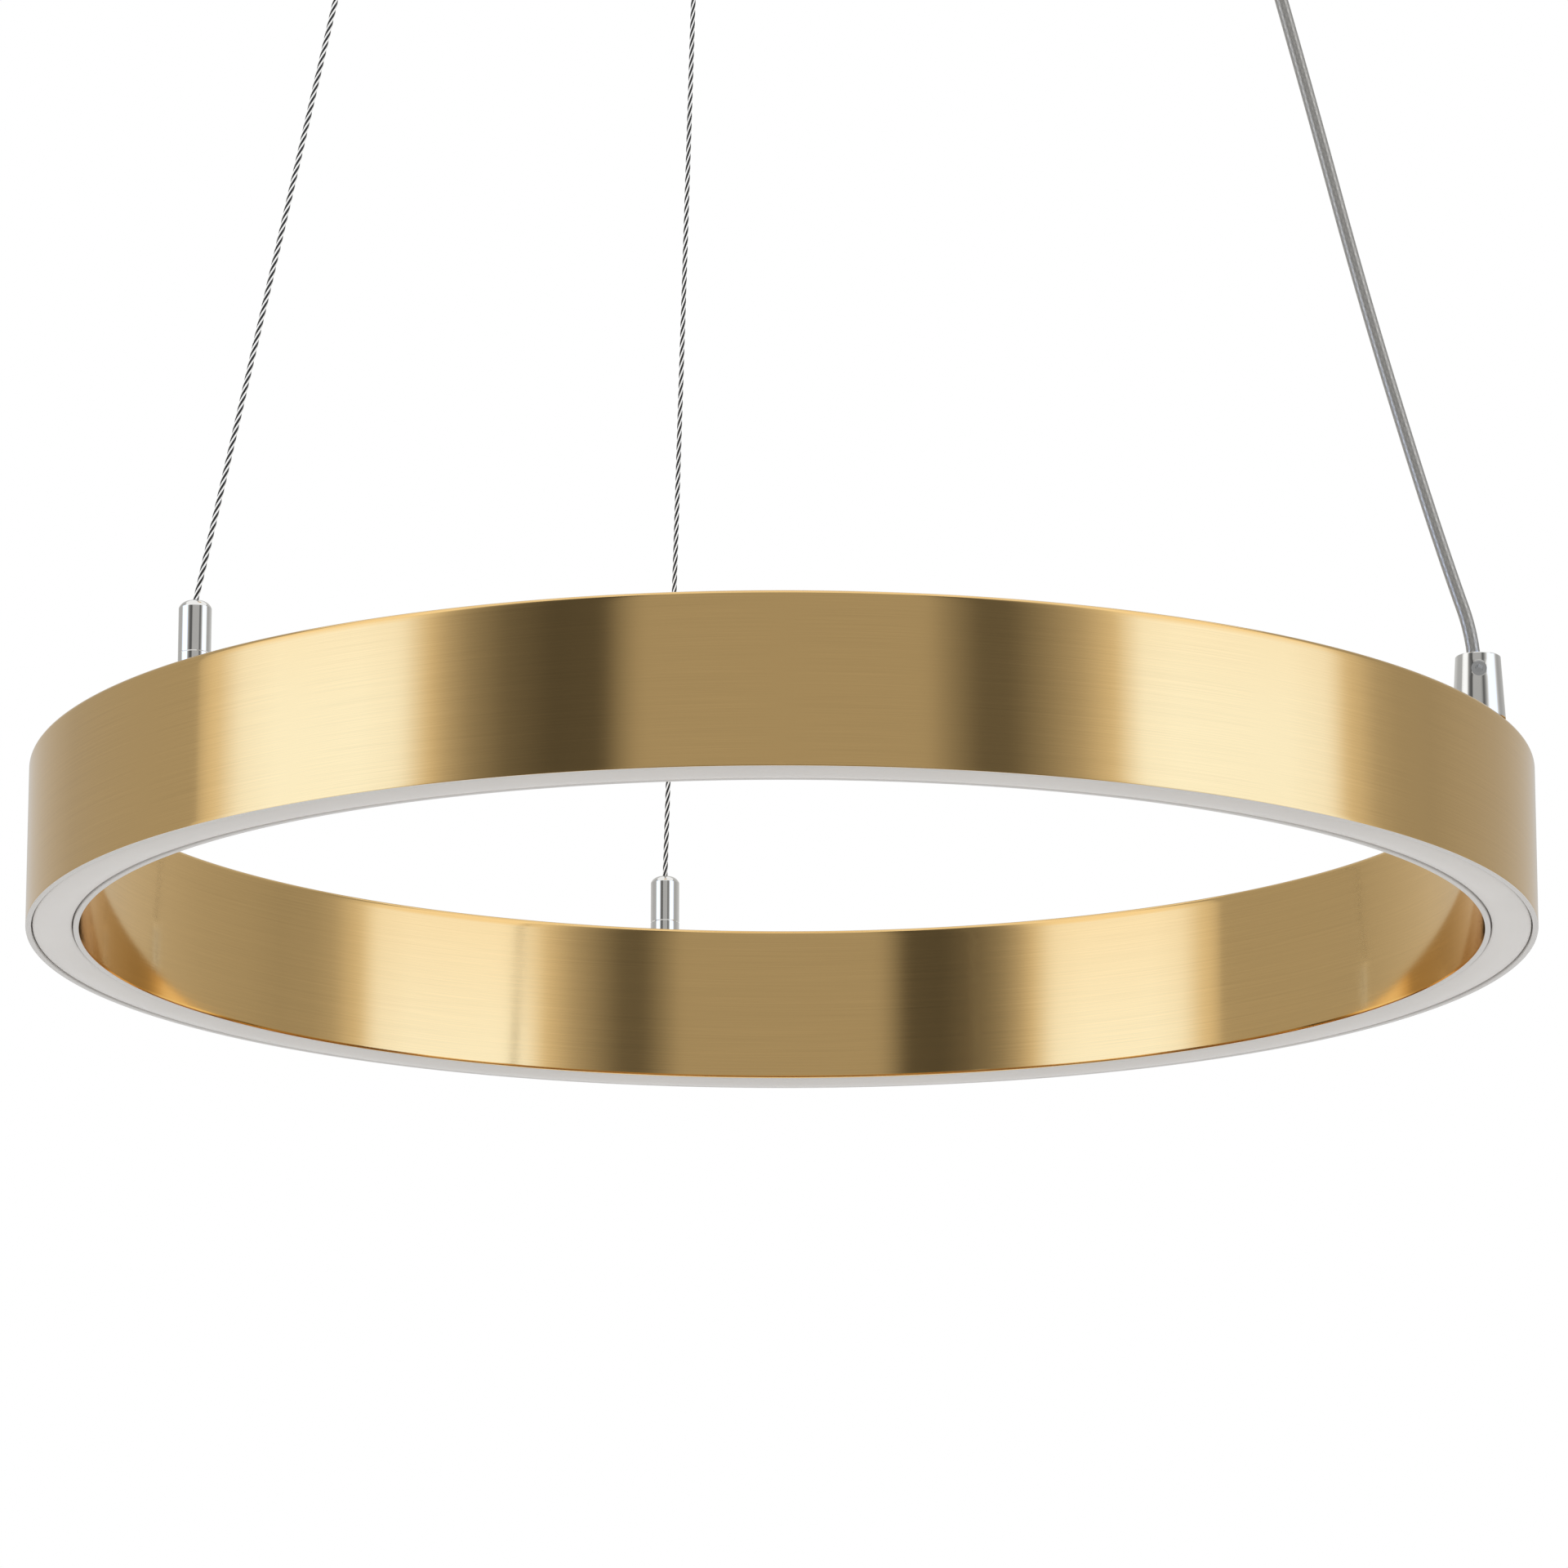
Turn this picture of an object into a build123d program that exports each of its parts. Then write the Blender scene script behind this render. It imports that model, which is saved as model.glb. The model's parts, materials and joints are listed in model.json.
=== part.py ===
import os
from math import cos, degrees, hypot, pi, radians, sin, tan

from build123d import *

# A ring-shaped pendant light. A flat hoop of two brass bands, with an opal diffuser
# in its lower edge, hangs level on two steel ropes and a power cord. Ropes and cord
# run up to a round canopy under the ceiling, which holds the LED driver.
# All sizes are in millimetres. z = 0 is the ceiling, +Z is up, and the z axis runs
# through the middle of both the canopy and the ring.

# ---------------------------------------------------------------- driving sizes
# Ring
RING_RADIUS = 200.0  # outside of the outer band
RING_WIDTH = 14.0  # outer face to inner face
RING_HEIGHT = 44.0
HANG_DROP = 649.0  # ceiling to the top of the ring
BAND_WALL = 1.5
BAND_ROUND = 1.2  # rounding along the bands' top edges
RIM_ROUND = 0.3  # rounding along the bands' bottom edges
TOP_PLATE = 2.0

# Diffuser: a U-shaped opal strip, legs up, that snaps over a ledge on each band
CHANNEL_GAP = 0.3  # what slides up between the bands clears them by this
DIFFUSER_WALL = 1.6
DIFFUSER_EDGE = 0.6  # its bottom corners lie this far above the rims
DIFFUSER_BULGE = 0.9  # its middle stands this far below the rims
DIFFUSER_LEG = 8.0
LEDGE_HEIGHT = 3.7
LEDGE_THICK = 1.2
LEDGE_DEPTH = 0.75
SNAP_GAP = 0.2

# LED carrier, hung under the top plate on hexagonal posts
CARRIER_LEVEL = 22.0  # above the ring's bottom
CARRIER_THICK = 1.5
POST_COUNT = 6
POST_START = 10.0  # azimuth of the first post
POST_FLATS = 5.5
POST_PEG = 1.2
POST_BORE_DEPTH = 7.0
M3_RADIUS = 1.5
M3_HOLE_RADIUS = 1.65
M3_HEAD_RADIUS = 2.75
M3_HEAD_HEIGHT = 2.0
STRIP_WIDTH = 8.0
STRIP_THICK = 0.4
STRIP_BREAK = 8.0  # gap between two lengths of strip, at each post's screw
CHIPS_PER_LENGTH = 20
CHIP_LONG = 3.5
CHIP_WIDE = 2.8
CHIP_THICK = 0.7
RESISTORS_PER_LENGTH = 4
RESISTOR_LONG = 2.0
RESISTOR_WIDE = 1.2
RESISTOR_THICK = 0.5
LINK_WIDTH = 0.8  # bare links that join the strip's lengths past each screw
LINK_THICK = 0.5
LINK_LAP = 3.0

# Suspension points: azimuths on the ring, seen from above
CORD_AZIMUTH = -21.3
LEFT_AZIMUTH = -139.8
REAR_AZIMUTH = 100.2
TWIST = 5.8  # the canopy's exits are turned this much further round
EXIT_RADIUS = 55.0  # the exits' circle on the canopy
ROPE_RADIUS = 0.75
CORD_RADIUS = 1.75

# Rope ferrules on the ring: a threaded base and a domed cap
FERRULE_RADIUS = 4.15
COLLAR_HEIGHT = 3.0
GROOVE_HEIGHT = 0.3
GROOVE_DEPTH = 0.45
CAP_HEIGHT = 13.5
DOME_RISE = 1.9
DOME_BULGE = 0.5
LAND_RADIUS = 1.5
FERRULE_THREAD = 3.0  # radius
FERRULE_UPSTAND = 4.5
THREAD_GAP = 0.05
CAP_SHOULDER = 2.8  # top wall of the cap, above the rope's end sleeve
SLEEVE_RADIUS = 2.1
SLEEVE_LENGTH = 6.0
ROPE_HOLE_GAP = 0.2
STUD_RADIUS = 2.5  # M5
STUD_HOLE_GAP = 0.15
STUD_LENGTH = 8.0
STUD_NUT_FLATS = 8.0
STUD_NUT_HEIGHT = 4.0

# Cord grips: one on the ring, the same one upside down on the canopy
GRIP_BASE_RADIUS = 6.85
GRIP_TIP_RADIUS = 5.85
GRIP_HEIGHT = 16.5
GRIP_BORE_RADIUS = 3.25
GRIP_EDGE = 0.25
GRIP_STUB_RADIUS = 4.0  # M8 x 1
GRIP_STUB_BORE = 2.9
GRIP_STUB_LENGTH = 7.0
GRIP_HOLE_GAP = 0.15
GRIP_NUT_RADIUS = 5.2
GRIP_NUT_HEIGHT = 3.5
GRIP_NUT_SLOT = 1.5
GRIP_SCREW_DROP = 4.4  # set screw's axis below the grip's tip
GRIP_SCREW_RADIUS = 2.0  # M4
GRIP_SCREW_SINK = 0.5  # its socket end lies this deep in the wall
GRIP_SCREW_MOUTH = 0.25  # widening of its hole at the surface
SOCKET_FLATS = 2.0
SOCKET_DEPTH = 1.6
RING_SCREW_AZIMUTH = -93.0  # which way the ring grip's set screw faces

# Canopy
CANOPY_RADIUS = 80.0
CANOPY_HEIGHT = 30.0
CANOPY_WALL = 1.2
CANOPY_SHADOW_GAP = 0.5  # its rim stops this far below the ceiling
CANOPY_ROUND = 2.0
BRACKET_WIDTH = 24.0
BRACKET_THICK = 2.0
BRACKET_GAP = 1.2  # tab to canopy wall
BRACKET_TAB = 22.0
BRACKET_BEND = 1.0
SLOT_SPACING = 70.0
SLOT_LENGTH = 20.0
SLOT_RADIUS = 2.25
CABLE_HOLE_RADIUS = 5.0
SIDE_SCREW_LEVEL = -12.0
SIDE_SCREW_RADIUS = 2.0  # M4
SIDE_SCREW_HOLE_GAP = 0.2
SIDE_SCREW_REACH = 3.0  # past the tab's inner face
KNOB_RADIUS = 4.0
KNOB_LENGTH = 4.0
KNURLS = 16
KNURL_DEPTH = 0.35

# Rope grippers: they hold the rope with three balls and let it up when pressed
GRIPPER_RADIUS = 6.0
GRIPPER_LENGTH = 14.0
GRIPPER_ROUND = 1.0
SHANK_RADIUS = 4.0
SHANK_LENGTH = 8.0
SHANK_HOLE_GAP = 0.15
SHANK_CAP = 2.0
SHANK_NUT_FLATS = 12.0
SHANK_NUT_HEIGHT = 4.0
LIP_HEIGHT = 1.6
CHAMBER_HEIGHT = 5.4
CHAMBER_RADIUS = 4.1
THROAT_RADIUS = 2.62
THROAT_HEIGHT = 1.5
TAPER_HEIGHT = 4.5
TAPER_TOP_RADIUS = 3.0
PLUNGER_RADIUS = 3.0
PLUNGER_REACH = 4.0  # below the gripper's body
PLUNGER_TRAVEL = 2.0
PLUNGER_GAP = 0.1
PLUNGER_BORE_RADIUS = 1.1
PLUNGER_EDGE = 0.5
FLANGE_RADIUS = 3.8
FLANGE_HEIGHT = 1.2
STEM_RADIUS = 2.2
BALL_RADIUS = 0.98
BALL_GAP = 0.02  # ball to rope
BALL_LIFT = 0.2  # ball above the plunger's stem
SPRING_WIRE = 0.25  # radius
SPRING_RADIUS = 1.95
SPRING_TURNS = 5
SPRING_END_GAP = 0.05
EXIT_GAP = 0.3  # the free rope starts this far below the plunger
TAIL_RISE = 8.0  # rope above the gripper's shank before it bends over
TAIL_BEND = 7.5
TAIL_RUN = 12.0
STOP_RADIUS = 1.6
STOP_LENGTH = 6.0
LEFT_TAIL_HEADING = 0.0
REAR_TAIL_HEADING = 180.0

# LED driver and wiring in the canopy. The terminal block, the driver and its ears
# reach out towards the canopy's wall, and the driver with its output connector
# stands between the nuts of the cord grip and the rear gripper.
DRIVER_CLEARANCE = 6.6  # driver's back right corner to the canopy wall
EAR_CLEARANCE = 2.5
BLOCK_CLEARANCE = 4.5
DRIVER_SHARE = 0.587  # of the spare depth between the nuts, in front of the connector
DRIVER_DEEP = 34.0
DRIVER_TALL = 22.0
DRIVER_WALL = 1.5
LID_LIP = 2.0
LID_GAP = 0.1
EAR_LONG = 7.0
EAR_WIDE = 8.0
EAR_THICK = 2.0
BOARD_STANDOFF = 2.0
BOARD_THICK = 1.6
BOARD_MARGIN = 1.0
LEAD_RADIUS = 1.0
LEAD_GAP = 0.3
LEAD_RISE = 6.8  # leads' height above the canopy floor
SUPPLY_FIRST = 13.0  # supply leads behind the driver's front
SUPPLY_PITCH = 6.0
OUTPUT_LAST = 5.4  # last output lead from the driver's right end
OUTPUT_PITCH = 3.2
STANDOFF_RADIUS = 2.0
TERMINAL_BOX_INSET = 2.0  # from the circuit board's edges
TERMINAL_BOX_HEIGHT = 8.0
TERMINAL_BOX_DEEP = 8.0
INPUT_BOX_MARGIN = 4.0
OUTPUT_BOX_MARGIN = 2.5
TRANSFORMER_SHARE = 0.48  # its middle along the driver
TRANSFORMER_LONG = 22.0
TRANSFORMER_DEEP = 18.0
TRANSFORMER_FOOT = 4.0
TRANSFORMER_TALL = 13.0
TRANSFORMER_YOKE = 3.0
WINDING_RADIUS = 7.0
SMOOTHING_SHARE = 0.458  # of the way from the input box to the transformer
SMOOTHING_RADIUS = 5.0
SMOOTHING_TALL = 14.0
SMOOTHING_FORWARD = 4.0
CHOKE_SHARE = 0.555
CHOKE_RADIUS = 4.0
CHOKE_TALL = 9.0
CHOKE_BACK = 8.0
OUTPUT_CAP_GAP = 6.8
OUTPUT_CAP_RADIUS = 4.0
OUTPUT_CAP_TALL = 12.0
OUTPUT_CAP_BACK = 7.0
HEAT_SINK_GAP = 2.8
HEAT_SINK_THICK = 2.0
HEAT_SINK_LONG = 13.0
HEAT_SINK_FORWARD = 4.5
HEAT_SINK_TALL = 13.0
BLOCK_TO_DRIVER = 14.0
BLOCK_WIDE = 17.0
BLOCK_LONG = 24.0
BLOCK_TALL = 15.0
BLOCK_BACK = 3.0  # its front behind the driver's front
BLOCK_POLES = 3
BLOCK_POLE_PITCH = 6.0
BLOCK_WIRE_DEPTH = 5.0
BLOCK_SCREW_RADIUS = 1.6
BLOCK_SCREW_LENGTH = 6.0
BLOCK_SCREW_SINK = 1.0
BLOCK_SCREW_GAP = 0.1
BLOCK_SLOT = 0.6
BLOCK_SLOT_DEPTH = 0.8
EARTH_SCREW_RADIUS = 2.0
EARTH_HEAD_RADIUS = 3.5
EARTH_HEAD_HEIGHT = 2.4
EARTH_OFFSET = 7.6  # earth screw to the right of the terminal block
EARTH_SLOT = 1.0
EARTH_SLOT_DEPTH = 1.2
TAG_RADIUS = 4.0
TAG_THICK = 0.8
TAG_BARREL_RADIUS = 1.5
TAG_BARREL_HEIGHT = 3.0
TAG_NECK = 2.4
CONNECTOR_WIDE = 8.0
CONNECTOR_TALL = 10.0
CONNECTOR_LONG = 9.0
CONNECTOR_TO_DRIVER = 4.0
CORE_RADIUS = 0.6
CORE_OFFSET = 0.8  # the cord's two cores, each side of its middle
CORE_BEND = 2.0
CORE_START = 0.2  # the cores show this far past the jacket before they turn
CORE_SPREAD = 1.4  # the cores each side of the connector's middle
JACKET_PAST_STUB = 3.0
HAIRPIN_RISE = 6.0
HAIRPIN_CLEAR = 1.4
HAIRPIN_BEND = 1.2
RING_CONNECTOR_OFFSET = 9.0  # from the grip's axis along the channel
RING_CONNECTOR_WIDE = 7.0
RING_CONNECTOR_LONG = 15.0
RING_CONNECTOR_TALL = 7.0
CORE_HOLE_RADIUS = 2.2
CORE_HOLE_OFFSET = 5.0  # past the connector

# The power cord's route, as the photograph shows it: millimetres out from the
# canopy grip's axis towards the ring grip, and millimetres below the canopy grip.
# It keeps its shape where the two grips move apart.
CORD_OFF_AXIS = 1.1  # the cord enters the ring grip this far short of its axis
CORD_ROUTE = [
    (0.0, 0.0),
    (0.2, 9.5),
    (2.1, 24.5),
    (6.3, 52.5),
    (15.7, 100.5),
    (27.5, 155.5),
    (40.1, 210.5),
    (53.3, 265.5),
    (67.0, 320.5),
    (81.1, 375.5),
    (95.4, 430.5),
    (109.0, 485.5),
    (123.9, 538.5),
    (132.3, 565.8),
    (136.7, 579.0),
    (137.3, 586.0),
]

# ---------------------------------------------------------------- derived sizes
RING_TOP = -HANG_DROP
RING_BOTTOM = RING_TOP - RING_HEIGHT
INNER_RADIUS = RING_RADIUS - RING_WIDTH
PITCH_RADIUS = RING_RADIUS - RING_WIDTH / 2
CHANNEL_OUT = RING_RADIUS - BAND_WALL
CHANNEL_IN = INNER_RADIUS + BAND_WALL
PLATE_BOTTOM = RING_TOP - TOP_PLATE
CARRIER_BOTTOM = RING_BOTTOM + CARRIER_LEVEL
CARRIER_TOP = CARRIER_BOTTOM + CARRIER_THICK
STRIP_IN = PITCH_RADIUS - STRIP_WIDTH / 2
STRIP_OUT = PITCH_RADIUS + STRIP_WIDTH / 2
STRIP_BOTTOM = CARRIER_BOTTOM - STRIP_THICK
STEP_AZIMUTH = 360.0 / POST_COUNT
BREAK_AZIMUTH = degrees(STRIP_BREAK / PITCH_RADIUS)

CANOPY_TOP = -CANOPY_SHADOW_GAP
CANOPY_BOTTOM = -CANOPY_HEIGHT
CANOPY_FLOOR = CANOPY_BOTTOM + CANOPY_WALL
CANOPY_INSIDE = CANOPY_RADIUS - CANOPY_WALL
TAB_OUTSIDE = CANOPY_INSIDE - BRACKET_GAP

CAP_TOP = COLLAR_HEIGHT + GROOVE_HEIGHT + CAP_HEIGHT  # above the ring
ROPE_LOW = RING_TOP + CAP_TOP
PLUNGER_TIP = CANOPY_BOTTOM - GRIPPER_LENGTH - PLUNGER_REACH
ROPE_HIGH = PLUNGER_TIP - EXIT_GAP
CORD_HIGH = CANOPY_BOTTOM - GRIP_HEIGHT

STANDING = (Align.CENTER, Align.CENTER, Align.MIN)


# ---------------------------------------------------------------- helpers
def polar(radius, azimuth, z=0.0):
    """Point at a radius and azimuth about the z axis."""
    return Vector(radius * cos(radians(azimuth)), radius * sin(radians(azimuth)), z)


def rod(radius, low, high):
    """Upright cylinder on the z axis, between two heights."""
    return Pos(0, 0, low) * Cylinder(radius, high - low, align=STANDING)


def pipe(outer, inner, low, high):
    """Upright tube on the z axis, between two heights."""
    return rod(outer, low, high) - rod(inner, low, high)


def block(x0, x1, y0, y1, z0, z1):
    """Box between two corners."""
    middle = Pos((x0 + x1) / 2, (y0 + y1) / 2, (z0 + z1) / 2)
    return middle * Box(x1 - x0, y1 - y0, z1 - z0)


def hexagon(flats, low, high):
    """Upright hexagonal bar on the z axis, measured across its flats."""
    outline = Pos(0, 0, low) * RegularPolygon(flats / 2, 6, major_radius=False)
    return extrude(outline, high - low)


def turned(*edges):
    """Solid of revolution about z, from a closed outline in the XZ plane."""
    return revolve(make_face(edges), Axis.Z, 360)


def line(*points):
    """Straight edges through (radius, height) points in the XZ plane."""
    return Polyline(*[(x, 0, z) for x, z in points])


def arc(start, through, end):
    """Arc through three (radius, height) points in the XZ plane."""
    return ThreePointArc(*[(x, 0, z) for x, z in (start, through, end)])


def wire_along(points, radius, bend):
    """Round wire through points in space, with bends of one radius."""
    if len(points) == 2:
        path = Line(*points)
    else:
        path = FilletPolyline(*points, radius=bend)
    return sweep(Plane(path @ 0, z_dir=path % 0) * Circle(radius), path)


def arc_box(inner, outer, low, high, start, sweep_angle):
    """Length of a flat ring between two azimuths."""
    outline = make_face(
        [
            CenterArc((0, 0), outer, start, sweep_angle),
            CenterArc((0, 0), inner, start, sweep_angle),
            Line(polar(inner, start), polar(outer, start)),
            Line(polar(inner, start + sweep_angle), polar(outer, start + sweep_angle)),
        ]
    )
    return Pos(0, 0, low) * extrude(outline, high - low)


def save(name, *pieces):
    """Write one node: every solid of the pieces in one STEP file."""
    solids = [solid for piece in pieces for solid in piece.solids()]
    shape = solids[0] if len(solids) == 1 else Compound(solids)
    export_step(shape, os.path.join("parts", name + ".step"))
    return shape


os.makedirs("parts", exist_ok=True)

LEFT_POST = polar(PITCH_RADIUS, LEFT_AZIMUTH, RING_TOP)
REAR_POST = polar(PITCH_RADIUS, REAR_AZIMUTH, RING_TOP)
CORD_POST = polar(PITCH_RADIUS, CORD_AZIMUTH, RING_TOP)
LEFT_EXIT = polar(EXIT_RADIUS, LEFT_AZIMUTH + TWIST)
REAR_EXIT = polar(EXIT_RADIUS, REAR_AZIMUTH + TWIST)
CORD_EXIT = polar(EXIT_RADIUS, CORD_AZIMUTH + TWIST)

# ---------------------------------------------------------------- ring: bands
outer_band = pipe(RING_RADIUS, CHANNEL_OUT, RING_BOTTOM, RING_TOP)
outer_top = outer_band.edges().filter_by(GeomType.CIRCLE)
outer_top = outer_top.filter_by(lambda e: abs(e.radius - RING_RADIUS) < 0.01)
outer_band = fillet(outer_top.sort_by(Axis.Z)[-1], BAND_ROUND)
outer_rim = outer_band.edges().filter_by(GeomType.CIRCLE).group_by(Axis.Z)[0]
save("outer_band", fillet(outer_rim, RIM_ROUND))

inner_band = pipe(CHANNEL_IN, INNER_RADIUS, RING_BOTTOM, RING_TOP)
inner_top = inner_band.edges().filter_by(GeomType.CIRCLE)
inner_top = inner_top.filter_by(lambda e: abs(e.radius - INNER_RADIUS) < 0.01)
inner_band = fillet(inner_top.sort_by(Axis.Z)[-1], BAND_ROUND)
inner_rim = inner_band.edges().filter_by(GeomType.CIRCLE).group_by(Axis.Z)[0]
save("inner_band", fillet(inner_rim, RIM_ROUND))

post_azimuths = [POST_START + i * STEP_AZIMUTH for i in range(POST_COUNT)]
top_plate = pipe(CHANNEL_OUT, CHANNEL_IN, PLATE_BOTTOM, RING_TOP)
for post in (LEFT_POST, REAR_POST):
    hole = Cylinder(STUD_RADIUS + STUD_HOLE_GAP, 2 * TOP_PLATE + 1)
    top_plate -= Pos(post) * hole
top_plate -= Pos(CORD_POST) * Cylinder(GRIP_STUB_RADIUS + GRIP_HOLE_GAP, 2 * TOP_PLATE + 1)
for azimuth in post_azimuths:
    peg_hole = rod(M3_RADIUS, PLATE_BOTTOM, PLATE_BOTTOM + POST_PEG)
    top_plate -= Pos(polar(PITCH_RADIUS, azimuth)) * peg_hole
save("top_plate", top_plate)

# ---------------------------------------------------------------- ring: LED carrier
carrier = pipe(
    CHANNEL_OUT - CHANNEL_GAP, CHANNEL_IN + CHANNEL_GAP, CARRIER_BOTTOM, CARRIER_TOP
)
for azimuth in post_azimuths:
    screw_hole = rod(M3_HOLE_RADIUS, CARRIER_BOTTOM - 1, CARRIER_TOP + 1)
    carrier -= Pos(polar(PITCH_RADIUS, azimuth)) * screw_hole

# Where the wiring lies, in a frame on the cord grip's axis: x runs out from the
# ring's middle, y along the channel.
channel = Pos(polar(PITCH_RADIUS, CORD_AZIMUTH)) * Rot(0, 0, CORD_AZIMUTH)
core_hole_y = RING_CONNECTOR_OFFSET + RING_CONNECTOR_LONG + CORE_HOLE_OFFSET
core_hole = Pos(0, core_hole_y) * rod(
    CORE_HOLE_RADIUS, CARRIER_BOTTOM - 1, CARRIER_TOP + 1
)
carrier -= channel * core_hole
save("led_carrier", carrier)

posts = []
screws = []
for azimuth in post_azimuths:
    place = Pos(polar(PITCH_RADIUS, azimuth)) * Rot(0, 0, azimuth)
    post = hexagon(POST_FLATS, CARRIER_TOP, PLATE_BOTTOM)
    post += rod(M3_RADIUS, PLATE_BOTTOM - 0.5, PLATE_BOTTOM + POST_PEG)
    post -= rod(M3_RADIUS, CARRIER_TOP, CARRIER_TOP + POST_BORE_DEPTH)
    posts.append(place * post)
    screw = rod(M3_HEAD_RADIUS, CARRIER_BOTTOM - M3_HEAD_HEIGHT, CARRIER_BOTTOM)
    screw += rod(M3_RADIUS, CARRIER_BOTTOM - 0.5, CARRIER_TOP + POST_BORE_DEPTH - 1)
    socket = hexagon(
        SOCKET_FLATS, CARRIER_BOTTOM - M3_HEAD_HEIGHT, CARRIER_BOTTOM - M3_HEAD_HEIGHT / 4
    )
    screws.append(place * (screw - socket))
save("carrier_posts", *posts)
save("carrier_screws", *screws)

strips = []
chips = []
resistors = []
links = []
length_azimuth = STEP_AZIMUTH - BREAK_AZIMUTH
for azimuth in post_azimuths:
    start = azimuth + BREAK_AZIMUTH / 2
    strips.append(
        arc_box(STRIP_IN, STRIP_OUT, STRIP_BOTTOM, CARRIER_BOTTOM, start, length_azimuth)
    )
    pitch = length_azimuth / CHIPS_PER_LENGTH
    for i in range(CHIPS_PER_LENGTH):
        turn = start + (i + 0.5) * pitch
        chip = block(
            -CHIP_WIDE / 2,
            CHIP_WIDE / 2,
            -CHIP_LONG / 2,
            CHIP_LONG / 2,
            STRIP_BOTTOM - CHIP_THICK,
            STRIP_BOTTOM,
        )
        chips.append(Pos(polar(PITCH_RADIUS, turn)) * Rot(0, 0, turn) * chip)
    step = CHIPS_PER_LENGTH // RESISTORS_PER_LENGTH
    for i in range(RESISTORS_PER_LENGTH):
        turn = start + (step * i + step / 2 + 0.5) * pitch
        if CHIPS_PER_LENGTH % (2 * RESISTORS_PER_LENGTH) == 0:
            turn += pitch / 2
        resistor = block(
            -RESISTOR_LONG / 2,
            RESISTOR_LONG / 2,
            -RESISTOR_WIDE / 2,
            RESISTOR_WIDE / 2,
            STRIP_BOTTOM - RESISTOR_THICK,
            STRIP_BOTTOM,
        )
        resistors.append(Pos(polar(PITCH_RADIUS, turn)) * Rot(0, 0, turn) * resistor)
    lap = degrees(LINK_LAP / PITCH_RADIUS)
    for inner in (STRIP_IN, STRIP_OUT - LINK_WIDTH):
        links.append(
            arc_box(
                inner,
                inner + LINK_WIDTH,
                STRIP_BOTTOM - LINK_THICK,
                STRIP_BOTTOM,
                azimuth - BREAK_AZIMUTH / 2 - lap,
                BREAK_AZIMUTH + 2 * lap,
            )
        )
save("led_strip", *strips)
save("led_chips", *chips)
save("strip_resistors", *resistors)

# ---------------------------------------------------------------- ring: diffuser
ledge_low = RING_BOTTOM + LEDGE_HEIGHT
ledge_high = ledge_low + LEDGE_THICK
save("ledge_outer", pipe(CHANNEL_OUT, CHANNEL_OUT - LEDGE_DEPTH, ledge_low, ledge_high))
save("ledge_inner", pipe(CHANNEL_IN + LEDGE_DEPTH, CHANNEL_IN, ledge_low, ledge_high))

diff_out = CHANNEL_OUT - CHANNEL_GAP
diff_in = CHANNEL_IN + CHANNEL_GAP
diff_edge = RING_BOTTOM + DIFFUSER_EDGE
diff_sole = RING_BOTTOM - DIFFUSER_BULGE
diff_top = diff_edge + DIFFUSER_LEG
groove_out = CHANNEL_OUT - LEDGE_DEPTH - SNAP_GAP
groove_in = CHANNEL_IN + LEDGE_DEPTH + SNAP_GAP
groove_low = ledge_low - SNAP_GAP
groove_high = ledge_high + SNAP_GAP
leg_out = diff_out - DIFFUSER_WALL
leg_in = diff_in + DIFFUSER_WALL
diffuser = turned(
    arc((diff_in, diff_edge), (PITCH_RADIUS, diff_sole), (diff_out, diff_edge)),
    line(
        (diff_out, diff_edge),
        (diff_out, groove_low),
        (groove_out, groove_low),
        (groove_out, groove_high),
        (diff_out, groove_high),
        (diff_out, diff_top),
        (leg_out, diff_top),
        (leg_out, diff_edge + DIFFUSER_WALL),
    ),
    arc(
        (leg_out, diff_edge + DIFFUSER_WALL),
        (PITCH_RADIUS, diff_sole + DIFFUSER_WALL),
        (leg_in, diff_edge + DIFFUSER_WALL),
    ),
    line(
        (leg_in, diff_edge + DIFFUSER_WALL),
        (leg_in, diff_top),
        (diff_in, diff_top),
        (diff_in, groove_high),
        (groove_in, groove_high),
        (groove_in, groove_low),
        (diff_in, groove_low),
        (diff_in, diff_edge),
    ),
)
save("diffuser", diffuser)

# ---------------------------------------------------------------- ring: ferrules
# Each is drawn about its own axis, with z = 0 on the ring's top.
cap_low = COLLAR_HEIGHT + GROOVE_HEIGHT
sleeve_high = CAP_TOP - CAP_SHOULDER
sleeve_low = sleeve_high - SLEEVE_LENGTH
rope_hole = ROPE_RADIUS + ROPE_HOLE_GAP

ferrule_base = rod(FERRULE_RADIUS, 0, COLLAR_HEIGHT)
ferrule_base += rod(FERRULE_RADIUS - GROOVE_DEPTH, 0, cap_low)
ferrule_base += rod(FERRULE_THREAD, 0, cap_low + FERRULE_UPSTAND)
ferrule_base += rod(STUD_RADIUS, -STUD_LENGTH, 1)
ferrule_nut = hexagon(STUD_NUT_FLATS, -TOP_PLATE - STUD_NUT_HEIGHT, -TOP_PLATE)
ferrule_nut -= rod(STUD_RADIUS, -STUD_LENGTH, 0)

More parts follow.
